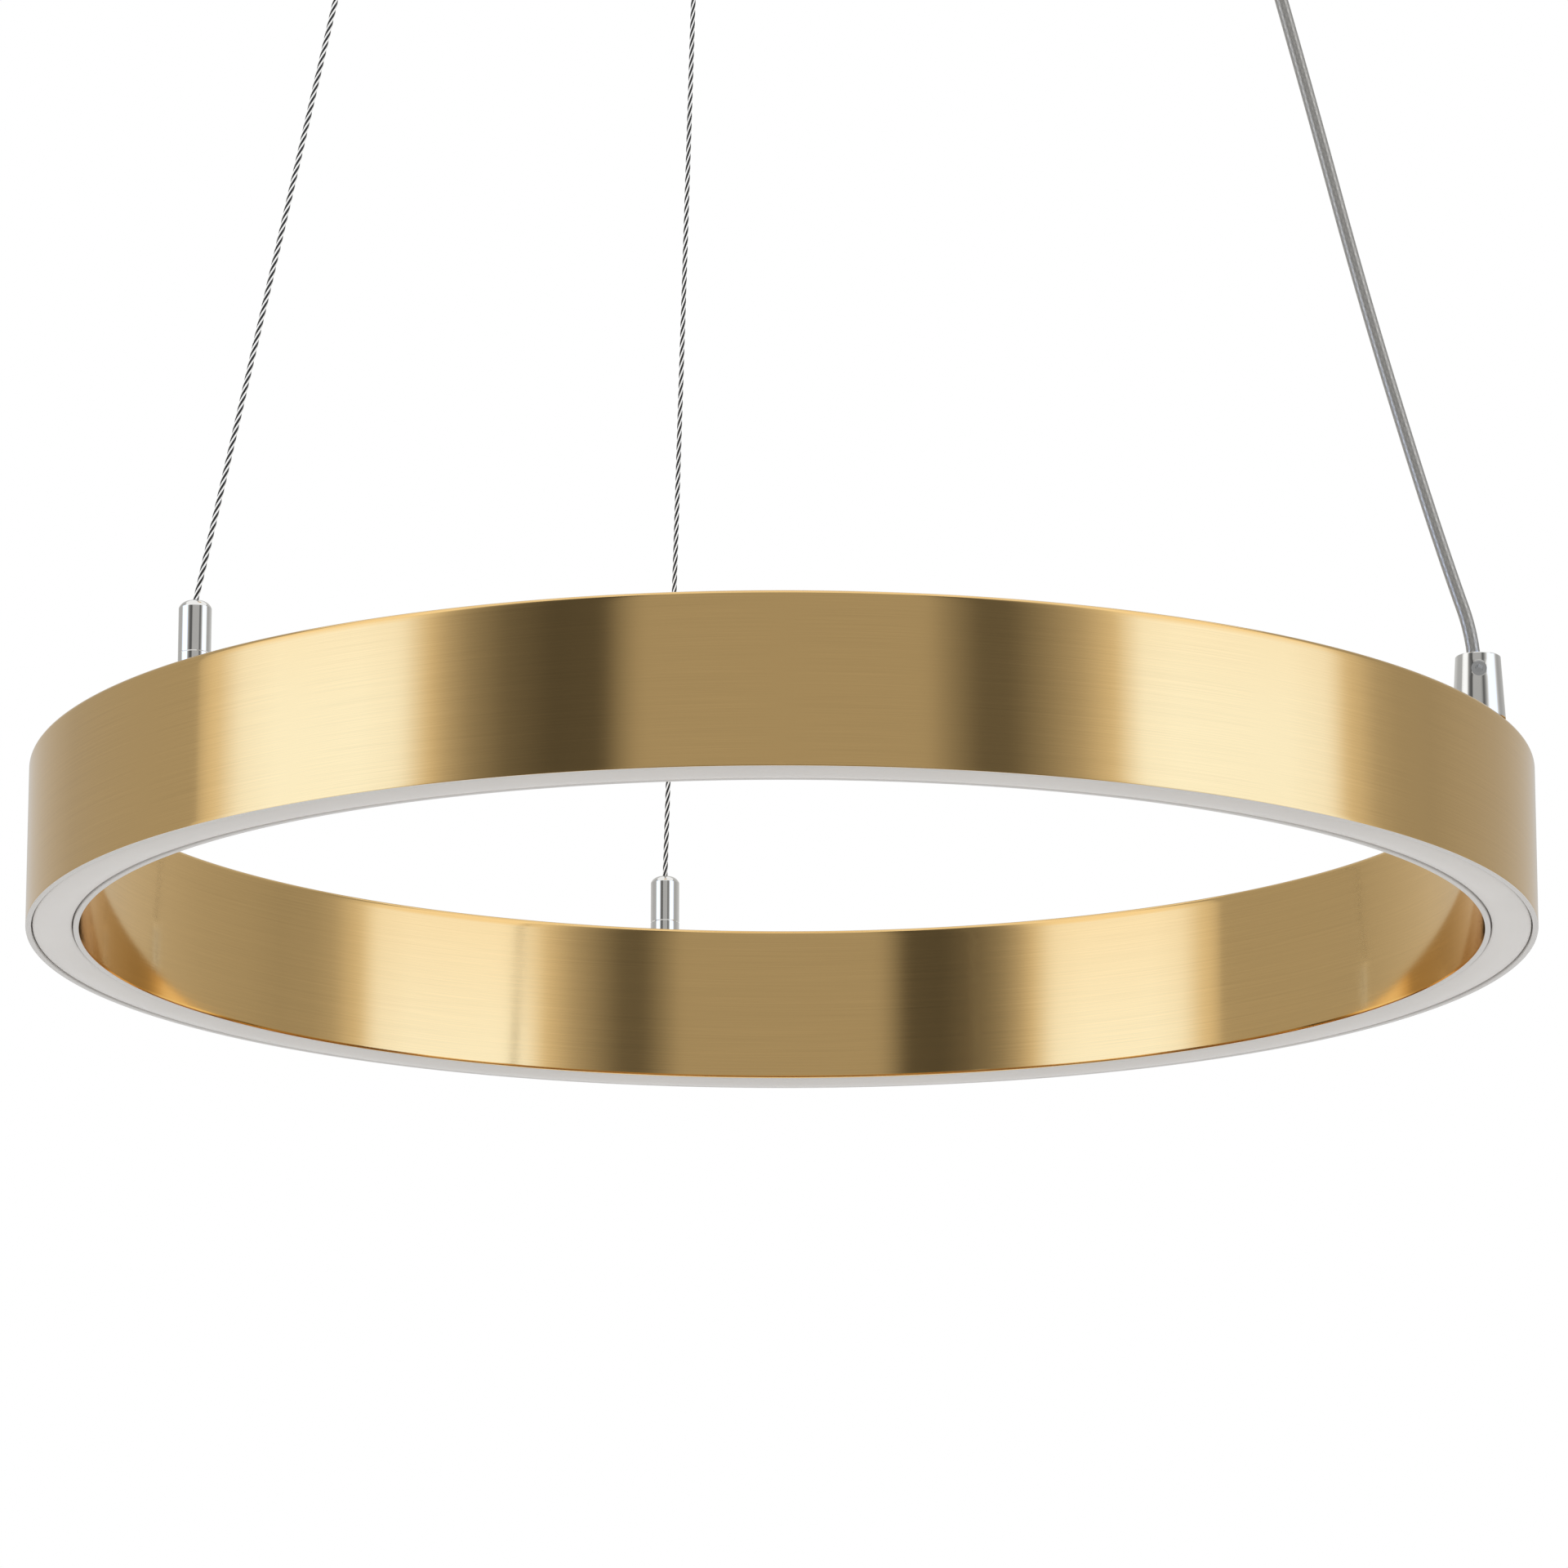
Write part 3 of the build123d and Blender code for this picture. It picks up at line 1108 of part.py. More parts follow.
# ---------------------------------------------------------------- output wiring
join_x = (output_x[0] + output_x[1]) / 2
join_high = dy0 - CONNECTOR_TO_DRIVER
join_low = join_high - CONNECTOR_LONG
joint = block(
    join_x - CONNECTOR_WIDE / 2,
    join_x + CONNECTOR_WIDE / 2,
    join_low,
    join_high,
    dz0,
    dz0 + CONNECTOR_TALL,
)
entry_depth = BLOCK_WIRE_DEPTH / 2
tail_end = jacket_ends[0] + Vector(0, 0, CORE_START)
output_leads = []
for i, x in enumerate(output_x):
    joint -= Pos(x, join_high, lead_z) * Rot(90, 0, 0) * Cylinder(LEAD_RADIUS, 2 * entry_depth)
    joint -= Pos(x, join_low, lead_z) * Rot(90, 0, 0) * Cylinder(CORE_RADIUS, 2 * entry_depth)
    output_leads.append(
        wire_along(
            [(x, box_y0, lead_z), (x, join_high - entry_depth, lead_z)], LEAD_RADIUS, 0
        )
    )
    core_x = tail_end.X + (2 * i - 1) * CORE_OFFSET
    crest = tail_end.Z + HAIRPIN_RISE
    down_y = join_low - HAIRPIN_CLEAR - CORE_RADIUS
    output_leads.append(
        wire_along(
            [
                (x, join_low + entry_depth, lead_z),
                (x, down_y, lead_z),
                (x, down_y, crest),
                (core_x, tail_end.Y, crest),
                (core_x, tail_end.Y, tail_end.Z),
            ],
            CORE_RADIUS,
            HAIRPIN_BEND,
        )
    )
save("output_connector", joint)
save("output_leads", *output_leads)
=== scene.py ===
"""Ring pendant light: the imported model's pieces dressed for rendering, with its ropes,
cord, bands and diffuser modelled anew, in a plain white studio."""

import json
import math

import bpy
from mathutils import Matrix, Vector


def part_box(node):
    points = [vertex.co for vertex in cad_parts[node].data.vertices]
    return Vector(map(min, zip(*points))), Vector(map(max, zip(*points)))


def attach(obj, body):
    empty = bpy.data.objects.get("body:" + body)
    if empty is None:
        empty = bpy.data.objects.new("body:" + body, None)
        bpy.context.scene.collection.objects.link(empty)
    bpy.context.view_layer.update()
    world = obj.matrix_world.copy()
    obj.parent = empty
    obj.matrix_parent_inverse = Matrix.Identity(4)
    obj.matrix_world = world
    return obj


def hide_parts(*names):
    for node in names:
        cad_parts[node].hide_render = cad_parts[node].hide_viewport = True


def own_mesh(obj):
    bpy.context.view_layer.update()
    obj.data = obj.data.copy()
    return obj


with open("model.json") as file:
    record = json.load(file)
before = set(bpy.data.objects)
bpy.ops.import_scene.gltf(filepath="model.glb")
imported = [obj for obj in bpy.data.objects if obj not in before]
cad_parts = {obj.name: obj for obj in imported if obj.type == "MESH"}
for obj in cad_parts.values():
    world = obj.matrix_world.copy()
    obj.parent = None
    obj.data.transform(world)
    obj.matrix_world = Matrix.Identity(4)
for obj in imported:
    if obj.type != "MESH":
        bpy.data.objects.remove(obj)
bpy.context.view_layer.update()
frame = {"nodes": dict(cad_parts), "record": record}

bl_info = {
    "name": "Ring Pendant Light",
    "version": (1, 0, 0),
    "blender": (4, 5, 0),
    "location": "3D View > Sidebar > Ring Light",
    "description": "Builds a brass LED ring pendant on its packed frame",
    "category": "Object",
}

MM = 0.001
OUTER_LOW, OUTER_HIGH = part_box("outer_band")
INNER_LOW, INNER_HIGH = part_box("inner_band")
RING_RIM = OUTER_LOW[2]
RING_TOP = OUTER_HIGH[2]

# The photograph's camera: its place in metres, its angles in degrees, and the rest in
# millimetres
CAMERA_PLACE = (0.00054, -1.95146, -1.11532)
CAMERA_PITCH = 13.4234
CAMERA_ROLL = 0.022
CAMERA_LENS = 172.56
CAMERA_SENSOR = 36.0

# Hanging points: their circles on the ring and on the canopy, their azimuths on the
# ring in degrees, how much further round they are on the canopy, and the heights of the
# ropes' and the cord's visible ends
RING_PITCH = 0.193
EXIT_PITCH = 0.055
TWIST = 5.8
LEFT_AZIMUTH = -139.8
REAR_AZIMUTH = 100.2
CORD_AZIMUTH = -21.3
ROPE_EXIT = -0.0483
ROPE_FOOT = -0.6322
CORD_EXIT = -0.0465

# The power cord's route in millimetres: out from the canopy grip towards the ring
# grip, and down from the canopy grip.
CORD_ROUTE = [
    (0.0, 0.0),
    (0.2, 9.5),
    (2.1, 24.5),
    (6.3, 52.5),
    (15.7, 100.5),
    (27.5, 155.5),
    (40.1, 210.5),
    (53.3, 265.5),
    (67.0, 320.5),
    (81.1, 375.5),
    (95.4, 430.5),
    (109.0, 485.5),
    (123.9, 538.5),
    (132.3, 565.8),
    (136.7, 579.0),
    (137.3, 586.0),
]


# ------------------------------------------------------------------ sizes and colours
def length(name, description, default, least=0.0):
    """Property for a length in metres."""
    return bpy.props.FloatProperty(
        name=name,
        description=description,
        default=default,
        min=least,
        unit="LENGTH",
        precision=5,
    )


def colour(name, description, default):
    """Property for a linear colour."""
    return bpy.props.FloatVectorProperty(
        name=name,
        description=description,
        default=default,
        min=0.0,
        size=3,
        subtype="COLOR",
    )


class RingLightSizes(bpy.types.PropertyGroup):
    """Sizes of the pieces that are modelled here"""

    band_wall: length("Band wall", "Thickness of the two brass bands", 1.5 * MM)
    top_round: length("Top rounding", "Rounding along the bands' top edges", 1.2 * MM)
    rim_round: length("Rim rounding", "Rounding along the bands' bottom edges", 0.3 * MM)
    ring_steps: bpy.props.IntProperty(
        name="Ring steps",
        description="Faces once round the ring",
        default=720,
        min=90,
    )
    diffuser_gap: length("Diffuser gap", "Clearance from diffuser to bands", 0.3 * MM)
    diffuser_edge: length("Diffuser edge", "Its corners above the bands' rims", 0.6 * MM)
    diffuser_bulge: length("Diffuser bulge", "Its middle below the bands' rims", 0.9 * MM)
    diffuser_leg: length("Diffuser leg", "Height of its legs between the bands", 8 * MM)
    diffuser_wall: length("Diffuser wall", "Its thickness", 1.6 * MM)
    rope_diameter: length("Rope", "Diameter of the steel ropes", 1.5 * MM)
    rope_lay: length("Rope lay", "Length of one full turn of a strand", 12 * MM)
    cord_diameter: length("Cord", "Diameter of the power cord", 3.5 * MM)
    spring_wire: length("Spring wire", "Diameter of the gripper springs' wire", 0.5 * MM)
    spring_turns: bpy.props.IntProperty(
        name="Spring turns",
        description="Turns of each gripper spring",
        default=5,
        min=1,
    )


class RingLightColours(bpy.types.PropertyGroup):
    """Colours of the finishes that show"""

    brass: colour("Brass", "Brushed brass of bands and canopy", (0.82, 0.555, 0.235))
    nickel: colour("Nickel", "Ferrules, grips and grippers", (0.83, 0.825, 0.805))
    steel: colour("Steel", "Rope strands", (1.0, 1.0, 0.99))
    opal: colour("Opal", "Diffuser", (0.7, 0.672, 0.64))
    rim: colour("Rims", "Painted rims and insides of the two bands", (0.62, 0.6, 0.575))
    braid: colour("Braid", "Tinned braid under the cord's jacket", (0.56, 0.55, 0.525))


class RingLightStudio(bpy.types.PropertyGroup):
    """Light of the studio"""

    softbox: colour("Softboxes", "Light of the two tall softboxes", (1.2, 1.52, 2.3))
    walls: colour("Walls", "Grey of the studio's walls", (1.0, 0.99, 0.97))
    ambient: bpy.props.FloatProperty(
        name="Ambient", description="Light from all around", default=0.66, min=0.0
    )
    key_power: bpy.props.FloatProperty(
        name="Key lamp", description="Power of the lamp", default=16.0, unit="POWER"
    )
    fill_power: bpy.props.FloatProperty(
        name="Fill lamp", description="Power of the lamp", default=8.0, unit="POWER"
    )
    radius: length("Studio radius", "Distance of the reflected studio walls", 0.926)


# ------------------------------------------------------------------ modelling helpers
def polar(radius, azimuth, height=0.0):
    """Point at a radius and an azimuth in degrees about the z axis."""
    turn = math.radians(azimuth)
    return Vector((radius * math.cos(turn), radius * math.sin(turn), height))


def draw_outline(name, points):
    """New piece that is one flat face, drawn corner by corner through (radius, height)."""
    bpy.ops.object.select_all(action="DESELECT")
    bpy.ops.mesh.primitive_plane_add(size=MM, location=(0, 0, 0))
    piece = bpy.context.object
    piece.name = name
    piece.data.name = name
    bpy.ops.object.mode_set(mode="EDIT")
    bpy.ops.mesh.merge(type="CENTER")
    bpy.ops.transform.translate(value=(points[0][0], 0, points[0][1]))
    for start, end in zip(points, points[1:]):
        step = (end[0] - start[0], 0, end[1] - start[1])
        bpy.ops.mesh.extrude_region_move(TRANSFORM_OT_translate={"value": step})
    bpy.ops.mesh.select_all(action="SELECT")
    bpy.ops.mesh.edge_face_add()
    bpy.ops.object.mode_set(mode="OBJECT")
    return piece


def select_corners(piece, points):
    """Go into edit mode with only the corners at these (radius, height) points selected."""
    bpy.ops.object.mode_set(mode="EDIT")
    bpy.ops.mesh.select_mode(type="VERT")
    bpy.ops.mesh.select_all(action="DESELECT")
    bpy.ops.object.mode_set(mode="OBJECT")
    for vertex in piece.data.vertices:
        for radius, height in points:
            near = (vertex.co - Vector((radius, 0, height))).length
            vertex.select = vertex.select or near < 1e-6
    bpy.ops.object.mode_set(mode="EDIT")


def round_corners(piece, points, size, segments):
    """Round these corners of a flat outline."""
    select_corners(piece, points)
    bpy.ops.mesh.bevel(offset=size, segments=segments, affect="VERTICES")
    bpy.ops.object.mode_set(mode="OBJECT")


def spin_outline(piece, steps):
    """Turn a flat outline all the way round the z axis."""
    bpy.ops.object.mode_set(mode="EDIT")
    bpy.ops.mesh.select_all(action="SELECT")
    bpy.ops.mesh.delete(type="ONLY_FACE")
    bpy.ops.mesh.select_all(action="SELECT")
    bpy.ops.mesh.spin(
        steps=steps, angle=math.tau, center=(0, 0, 0), axis=(0, 0, 1)
    )
    bpy.ops.mesh.select_all(action="SELECT")
    bpy.ops.mesh.remove_doubles(threshold=1e-6)
    bpy.ops.mesh.normals_make_consistent(inside=False)
    bpy.ops.object.mode_set(mode="OBJECT")
    bpy.ops.object.shade_smooth_by_angle(angle=math.radians(35))


def arc_points(start, middle_height, end, count):
    """Points on a shallow arch between two (radius, height) points."""
    points = []
    for i in range(count + 1):
        share = i / count
        rise = 4 * share * (1 - share) * (middle_height - start[1])
        points.append((start[0] + (end[0] - start[0]) * share, start[1] + rise))
    return points


def put(piece, place):
    """Move a piece and keep its object at the origin."""
    piece.location = place
    bpy.ops.object.select_all(action="DESELECT")
    piece.select_set(True)
    bpy.context.view_layer.objects.active = piece
    bpy.ops.object.transform_apply(location=True, rotation=True, scale=True)


def stands_for(piece, node, body, slot_name):
    """Dress a piece in a finish and let it stand for a CAD node on that node's body."""
    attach(piece, body)
    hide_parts(node)
    piece.data.materials.clear()
    piece.data.materials.append(finish(slot_name))


# ------------------------------------------------------------------ cords and ropes
def route_line(points):
    """Points of the smooth curve that a cord's route controls."""
    data = bpy.data.curves.new("route", "CURVE")
    data.dimensions = "3D"
    data.resolution_u = 24
    spline = data.splines.new("NURBS")
    spline.points.add(len(points) - 1)
    for control, place in zip(spline.points, points):
        control.co = (*place, 1.0)
    spline.order_u = 3
    spline.use_endpoint_u = True
    route = bpy.data.objects.new("route", data)
    bpy.context.collection.objects.link(route)
    bpy.context.view_layer.update()
    seen = route.evaluated_get(bpy.context.evaluated_depsgraph_get())
    mesh = bpy.data.meshes.new_from_object(seen)
    line = [vertex.co.copy() for vertex in mesh.vertices]
    bpy.data.meshes.remove(mesh)
    bpy.data.objects.remove(route)
    bpy.data.curves.remove(data)
    return line


def even_steps(line, step):
    """Points along a line at even steps, each with its direction and distance."""
    marks = [0.0]
    for start, end in zip(line, line[1:]):
        marks.append(marks[-1] + (end - start).length)
    count = max(2, round(marks[-1] / step))
    found = []
    i = 0
    for k in range(count + 1):
        distance = marks[-1] * k / count
        while i < len(line) - 2 and marks[i + 1] < distance:
            i += 1
        share = (distance - marks[i]) / (marks[i + 1] - marks[i])
        found.append((line[i].lerp(line[i + 1], share), distance))
    steps = []
    for k, (place, distance) in enumerate(found):
        before = found[max(k - 1, 0)][0]
        after = found[min(k + 1, count)][0]
        steps.append((place, (after - before).normalized(), distance))
    return steps


def across(direction):
    """Two directions square to a hanging cord's own."""
    side = Vector((1, 0, 0)) - direction * direction.x
    side.normalize()
    return side, direction.cross(side)


def tubes(name, lines, radii, sides, turns=None):
    """One mesh of round tubes along lines, with a UV map: round the tube, and along it."""
    verts = []
    faces = []
    corners = []
    for number, (line, radius) in enumerate(zip(lines, radii)):
        base = len(verts)
        distance = 0.0
        marks = []
        for k, place in enumerate(line):
            before = line[max(k - 1, 0)]
            after = line[min(k + 1, len(line) - 1)]
            side, front = across((after - before).normalized())
            distance += (place - before).length
            marks.append(distance)
            for j in range(sides):
                turn = math.tau * j / sides
                if turns and turns[number]:
                    turn += turns[number][k]
                out = side * math.cos(turn) + front * math.sin(turn)
                verts.append(place + radius * out)
        for k in range(len(line) - 1):
            for j in range(sides):
                here = base + k * sides
                nextj = (j + 1) % sides
                faces.append(
                    (here + j, here + nextj, here + sides + nextj, here + sides + j)
                )
                corners += [(j, k), (j + 1, k), (j + 1, k + 1), (j, k + 1)]
                corners[-4:] = [(u / sides, marks[v]) for u, v in corners[-4:]]
        last = base + (len(line) - 1) * sides
        faces.append(tuple(base + j for j in reversed(range(sides))))
        faces.append(tuple(last + j for j in range(sides)))
        corners += [(0, 0)] * sides + [(0, marks[-1])] * sides
    mesh = bpy.data.meshes.new(name)
    mesh.from_pydata(verts, [], faces)
    layer = mesh.uv_layers.new(name="length")
    layer.data.foreach_set("uv", [value for corner in corners for value in corner])
    mesh.update()
    mesh.shade_smooth()
    piece = bpy.data.objects.new(name, mesh)
    bpy.context.collection.objects.link(piece)
    bpy.ops.object.select_all(action="DESELECT")
    piece.select_set(True)
    bpy.context.view_layer.objects.active = piece
    bpy.ops.object.mode_set(mode="EDIT")
    bpy.ops.mesh.select_all(action="SELECT")
    bpy.ops.mesh.normals_make_consistent(inside=False)
    bpy.ops.object.mode_set(mode="OBJECT")
    return piece


def rope_strands(name, line, diameter, lay):
    """Four strands laid round a thin straight one, along a line."""
    count = 4
    spread = diameter / 2 / (1 + math.sin(math.pi / count))
    strand = spread * math.sin(math.pi / count)
    lines = [[place for place, _, _ in even_steps(line, lay)]]
    turns = [None]
    steps = even_steps(line, lay / 24)
    for k in range(count):
        turn = [math.tau * (distance / lay + k / count) for _, _, distance in steps]
        laid = []
        for (place, direction, _), angle in zip(steps, turn):
            side, front = across(direction)
            out = side * math.cos(angle) + front * math.sin(angle)
            laid.append(place + spread * out)
        lines.append(laid)
        turns.append(turn)
    return tubes(name, lines, [spread - strand] + [strand] * count, 12, turns)


# ------------------------------------------------------------------ shader helpers
def add(tree, kind, inputs=None, **settings):
    """New shader node: its settings, and its sockets as values or as other sockets."""
    node = tree.nodes.new(kind)
    for key, value in settings.items():
        setattr(node, key, value)
    for key, value in (inputs or {}).items():
        if isinstance(value, bpy.types.NodeSocket):
            tree.links.new(value, node.inputs[key])
        else:
            node.inputs[key].default_value = value
    return node


def math_node(tree, operation, first, second=0.0):
    """Output of a Math node."""
    return add(
        tree, "ShaderNodeMath", {0: first, 1: second}, operation=operation
    ).outputs[0]


def blend_colours(tree, share, first, second):
    """Output of a colour mix; colours are sockets or (r, g, b)."""
    mix = tree.nodes.new("ShaderNodeMix")
    mix.data_type = "RGBA"
    for place, value in ((0, share), (6, first), (7, second)):
        socket = mix.inputs[place]
        if isinstance(value, bpy.types.NodeSocket):
            tree.links.new(value, socket)
        elif isinstance(value, (int, float)):
            socket.default_value = value
        else:
            socket.default_value = (*value, 1.0)
    return mix.outputs[2]


def stretch(tree, value, low, high):
    """Output of a Map Range from 0..1 to a range."""
    node = add(
        tree, "ShaderNodeMapRange", {"Value": value, "To Min": low, "To Max": high}
    )
    return node.outputs["Result"]


def fade(tree, value, start, end):
    """Output of a Map Range that rises from 0 to 1 between two values."""
    node = add(
        tree,
        "ShaderNodeMapRange",
        {"Value": value, "From Min": start, "From Max": end},
    )
    return node.outputs["Result"]


def object_place(tree):
    """The Object coordinates, and their east, north and up parts."""
    place = add(tree, "ShaderNodeTexCoord").outputs["Object"]
    return place, *add(tree, "ShaderNodeSeparateXYZ", {0: place}).outputs


def facing_up(tree):
    """How much a surface faces up, from -1 to 1."""
    normal = add(tree, "ShaderNodeNewGeometry").outputs["Normal"]
    return add(tree, "ShaderNodeSeparateXYZ", {0: normal}).outputs[2]


def distance_out(tree, east, north):
    """Distance from the z axis."""
    flat = add(tree, "ShaderNodeCombineXYZ", {0: east, 1: north}).outputs[0]
    node = add(tree, "ShaderNodeVectorMath", {0: flat}, operation="LENGTH")
    return node.outputs["Value"]


def noise(tree, place, scale, **settings):
    """Output of a Noise texture."""
    inputs = {"Vector": place, "Scale": scale}
    inputs.update({key.title(): value for key, value in settings.items()})
    return add(tree, "ShaderNodeTexNoise", inputs).outputs["Fac"]


def ramp(tree, value, stops):
    """Output of a colour ramp through (place, grey) stops."""
    node = add(tree, "ShaderNodeValToRGB", {"Fac": value})
    elements = node.color_ramp.elements
    while len(elements) > 1:
        elements.remove(elements[-1])
    elements[0].position = stops[0][0]
    elements[0].color = (stops[0][1],) * 3 + (1.0,)
    for place, grey in stops[1:]:
        element = elements.new(place)
        element.color = (grey, grey, grey, 1.0)
    return node.outputs["Color"]


def effect(name, inputs, outputs):
    """Empty node group with number sockets, or the one already built under this name."""
    group = bpy.data.node_groups.get(name)
    if group:
        return group, None, None
    group = bpy.data.node_groups.new(name, "ShaderNodeTree")
    for key, value in inputs:
        socket = group.interface.new_socket(
            key, in_out="INPUT", socket_type="NodeSocketFloat"
        )
        socket.default_value = value
    for key in outputs:
        group.interface.new_socket(
            key, in_out="OUTPUT", socket_type="NodeSocketFloat"
        )
    start = group.nodes.new("NodeGroupInput")
    end = group.nodes.new("NodeGroupOutput")
    return group, start.outputs, end.inputs


def circular_brushing():
    """Fine lines that run round the z axis, on upright and on level faces."""
    group, given, made = effect(
        "Circular Brushing", [("Fineness", 9000.0), ("Length", 25.0)], ["Grain", "Shade"]
    )
    if made is None:
        return group
    place, east, north, up = object_place(group)
    level = math_node(group, "ADD", distance_out(group, east, north), up)
    lines = add(
        group,
        "ShaderNodeCombineXYZ",
        {
            0: math_node(group, "MULTIPLY", east, given["Length"]),
            1: math_node(group, "MULTIPLY", north, given["Length"]),
            2: math_node(group, "MULTIPLY", level, given["Fineness"]),
        },
    ).outputs[0]
    grain = noise(group, lines, 1.0, detail=3.0, roughness=0.6)
    group.links.new(grain, made["Grain"])
    group.links.new(noise(group, place, 18.0, detail=2.0), made["Shade"])
    return group


def handling_marks():
    """Soft smudges where hands have been."""
    group, given, made = effect(
        "Handling Marks", [("Size", 30.0), ("Amount", 0.5)], ["Mask"]
    )
    if made is None:
        return group
    place = object_place(group)[0]
    cloud = noise(group, place, given["Size"], detail=4.0, distortion=0.6)
    patch = fade(group, cloud, 0.5, 0.75)
    group.links.new(math_node(group, "MULTIPLY", patch, given["Amount"]), made["Mask"])
    return group


def edge_wear():
    """Lighter rubbed edges, from how sharply the surface bends outward."""
    group, given, made = effect(
        "Edge Wear", [("Width", 0.04), ("Amount", 0.5)], ["Mask"]
    )
    if made is None:
        return group
    bend = add(group, "ShaderNodeNewGeometry").outputs["Pointiness"]
    edge = fade(group, bend, 0.5, math_node(group, "ADD", 0.5, given["Width"]))
    patchy = noise(group, object_place(group)[0], 400.0, detail=3.0)
    worn = math_node(group, "MULTIPLY", edge, patchy)
    group.links.new(math_node(group, "MULTIPLY", worn, given["Amount"]), made["Mask"])
    return group


def fine_dust():
    """Thin dust on what faces up."""
    group, given, made = effect("Fine Dust", [("Amount", 0.3)], ["Mask"])
    if made is None:
        return group
    facing = fade(group, facing_up(group), 0.5, 1.0)
    specks = noise(group, object_place(group)[0], 900.0, detail=5.0, roughness=0.8)
    some = math_node(group, "MULTIPLY", facing, fade(group, specks, 0.52, 0.7))
    group.links.new(math_node(group, "MULTIPLY", some, given["Amount"]), made["Mask"])
    return group


def moulded_grain():
    """Slight unevenness of moulded or cast surfaces."""
    group, given, made = effect(
        "Moulded Grain", [("Size", 1500.0)], ["Height", "Shade"]
    )
    if made is None:
        return group
    place = object_place(group)[0]
    group.links.new(noise(group, place, given["Size"], detail=4.0), made["Height"])
    group.links.new(noise(group, place, 45.0, detail=2.0), made["Shade"])
    return group


def lower_rims():
    """The faces that look down below a height, and the faces between two radii."""
    group, given, made = effect(
        "Lower Rims", [("Height", 0.0), ("Inside", 0.0), ("Outside", 0.0)], ["Mask"]
    )
    if made is None:
        return group
    down = fade(group, facing_up(group), -0.15, -0.35)
    _, east, north, up = object_place(group)
    low = math_node(group, "LESS_THAN", up, given["Height"])
    rim = math_node(group, "MULTIPLY", down, low)
    out = distance_out(group, east, north)
    beyond = math_node(group, "GREATER_THAN", out, given["Inside"])
    within = math_node(group, "LESS_THAN", out, given["Outside"])
    channel = math_node(group, "MULTIPLY", beyond, within)
    group.links.new(math_node(group, "MAXIMUM", rim, channel), made["Mask"])
    return group


def use(tree, group, **values):
    """A group placed in a material, with its own values."""
    node = tree.nodes.new("ShaderNodeGroup")
    node.node_tree = group
    for key, value in values.items():
        node.inputs[key.replace("_", " ").title()].default_value = value
    return node.outputs


def new_finish(name):
    """New material with a Principled shader."""
    material = bpy.data.materials.new(name)
    material.use_nodes = True
    tree = material.node_tree
    tree.nodes.clear()
    shader = tree.nodes.new("ShaderNodeBsdfPrincipled")
    out = tree.nodes.new("ShaderNodeOutputMaterial")
    tree.links.new(shader.outputs[0], out.inputs["Surface"])
    return material, tree, shader


def bump(tree, shader, height, depth, strength=1.0):
    """Raise a surface by a height of this depth in metres."""
    node = add(
        tree,
        "ShaderNodeBump",
        {"Height": height, "Distance": depth, "Strength": strength},
    )
    tree.links.new(node.outputs[0], shader.inputs["Normal"])


def link(tree, value, shader, socket):
    """Feed a socket of the material's shader."""
    tree.links.new(value, shader.inputs[socket])


def shade(value, factor):
    """A colour made lighter or darker."""
    return tuple(min(1.0, part * factor) for part in value)


# ------------------------------------------------------------------ finishes
def brushed_brass(name):
    """Lacquered brass, brushed round the axis, with pale paint on the bands' rims."""
    colours = bpy.context.scene.ring_light_colours
    base = tuple(colours.brass)
    material, tree, shader = new_finish(name)
    brushing = use(tree, circular_brushing())
    marks = use(tree, handling_marks(), size=22.0, amount=0.5)
    wear = use(tree, edge_wear(), width=0.05, amount=0.5)
    dust = use(tree, fine_dust(), amount=0.12)
    lined = blend_colours(tree, brushing["Grain"], shade(base, 0.84), shade(base, 1.14))
    worn = blend_colours(tree, wear["Mask"], lined, shade(base, 1.15))
    dusty = blend_colours(tree, dust["Mask"], worn, (0.5, 0.48, 0.44))
    painted = use(
        tree,
        lower_rims(),
        height=RING_RIM + 1 * MM,
        inside=INNER_HIGH[0] - 0.1 * MM,
        outside=OUTER_HIGH[0] - 1.4 * MM,
    )["Mask"]
    rimmed = blend_colours(tree, painted, dusty, tuple(colours.rim))
    link(tree, rimmed, shader, "Base Color")
    link(tree, math_node(tree, "SUBTRACT", 1.0, painted), shader, "Metallic")
    rough = stretch(tree, brushing["Grain"], 0.03, 0.13)
    smudged = stretch(tree, marks["Mask"], 0.0, 0.05)
    polished = math_node(tree, "ADD", rough, smudged)
    satin = math_node(tree, "MULTIPLY", painted, 0.35)
    link(tree, math_node(tree, "ADD", polished, satin), shader, "Roughness")
    bump(tree, shader, brushing["Grain"], 0.004 * MM, 0.4)
    return material


def opal_diffuser(name):
    """Satin opal plastic with a faint cloudiness."""
    base = tuple(bpy.context.scene.ring_light_colours.opal)
    material, tree, shader = new_finish(name)
    grain = use(tree, moulded_grain(), size=2200.0)
    marks = use(tree, handling_marks(), size=16.0, amount=0.6)
    cloudy = blend_colours(tree, grain["Shade"], shade(base, 0.97), shade(base, 1.02))
    link(tree, cloudy, shader, "Base Color")
    link(tree, stretch(tree, marks["Mask"], 0.38, 0.48), shader, "Roughness")
    bump(tree, shader, grain["Height"], 0.003 * MM, 0.3)
    shader.inputs["Subsurface Weight"].default_value = 0.15
    shader.inputs["Subsurface Radius"].default_value = (1.0, 0.9, 0.8)
    shader.inputs["Subsurface Scale"].default_value = 1.0 * MM
    shader.inputs["Specular IOR Level"].default_value = 0.35
    return material


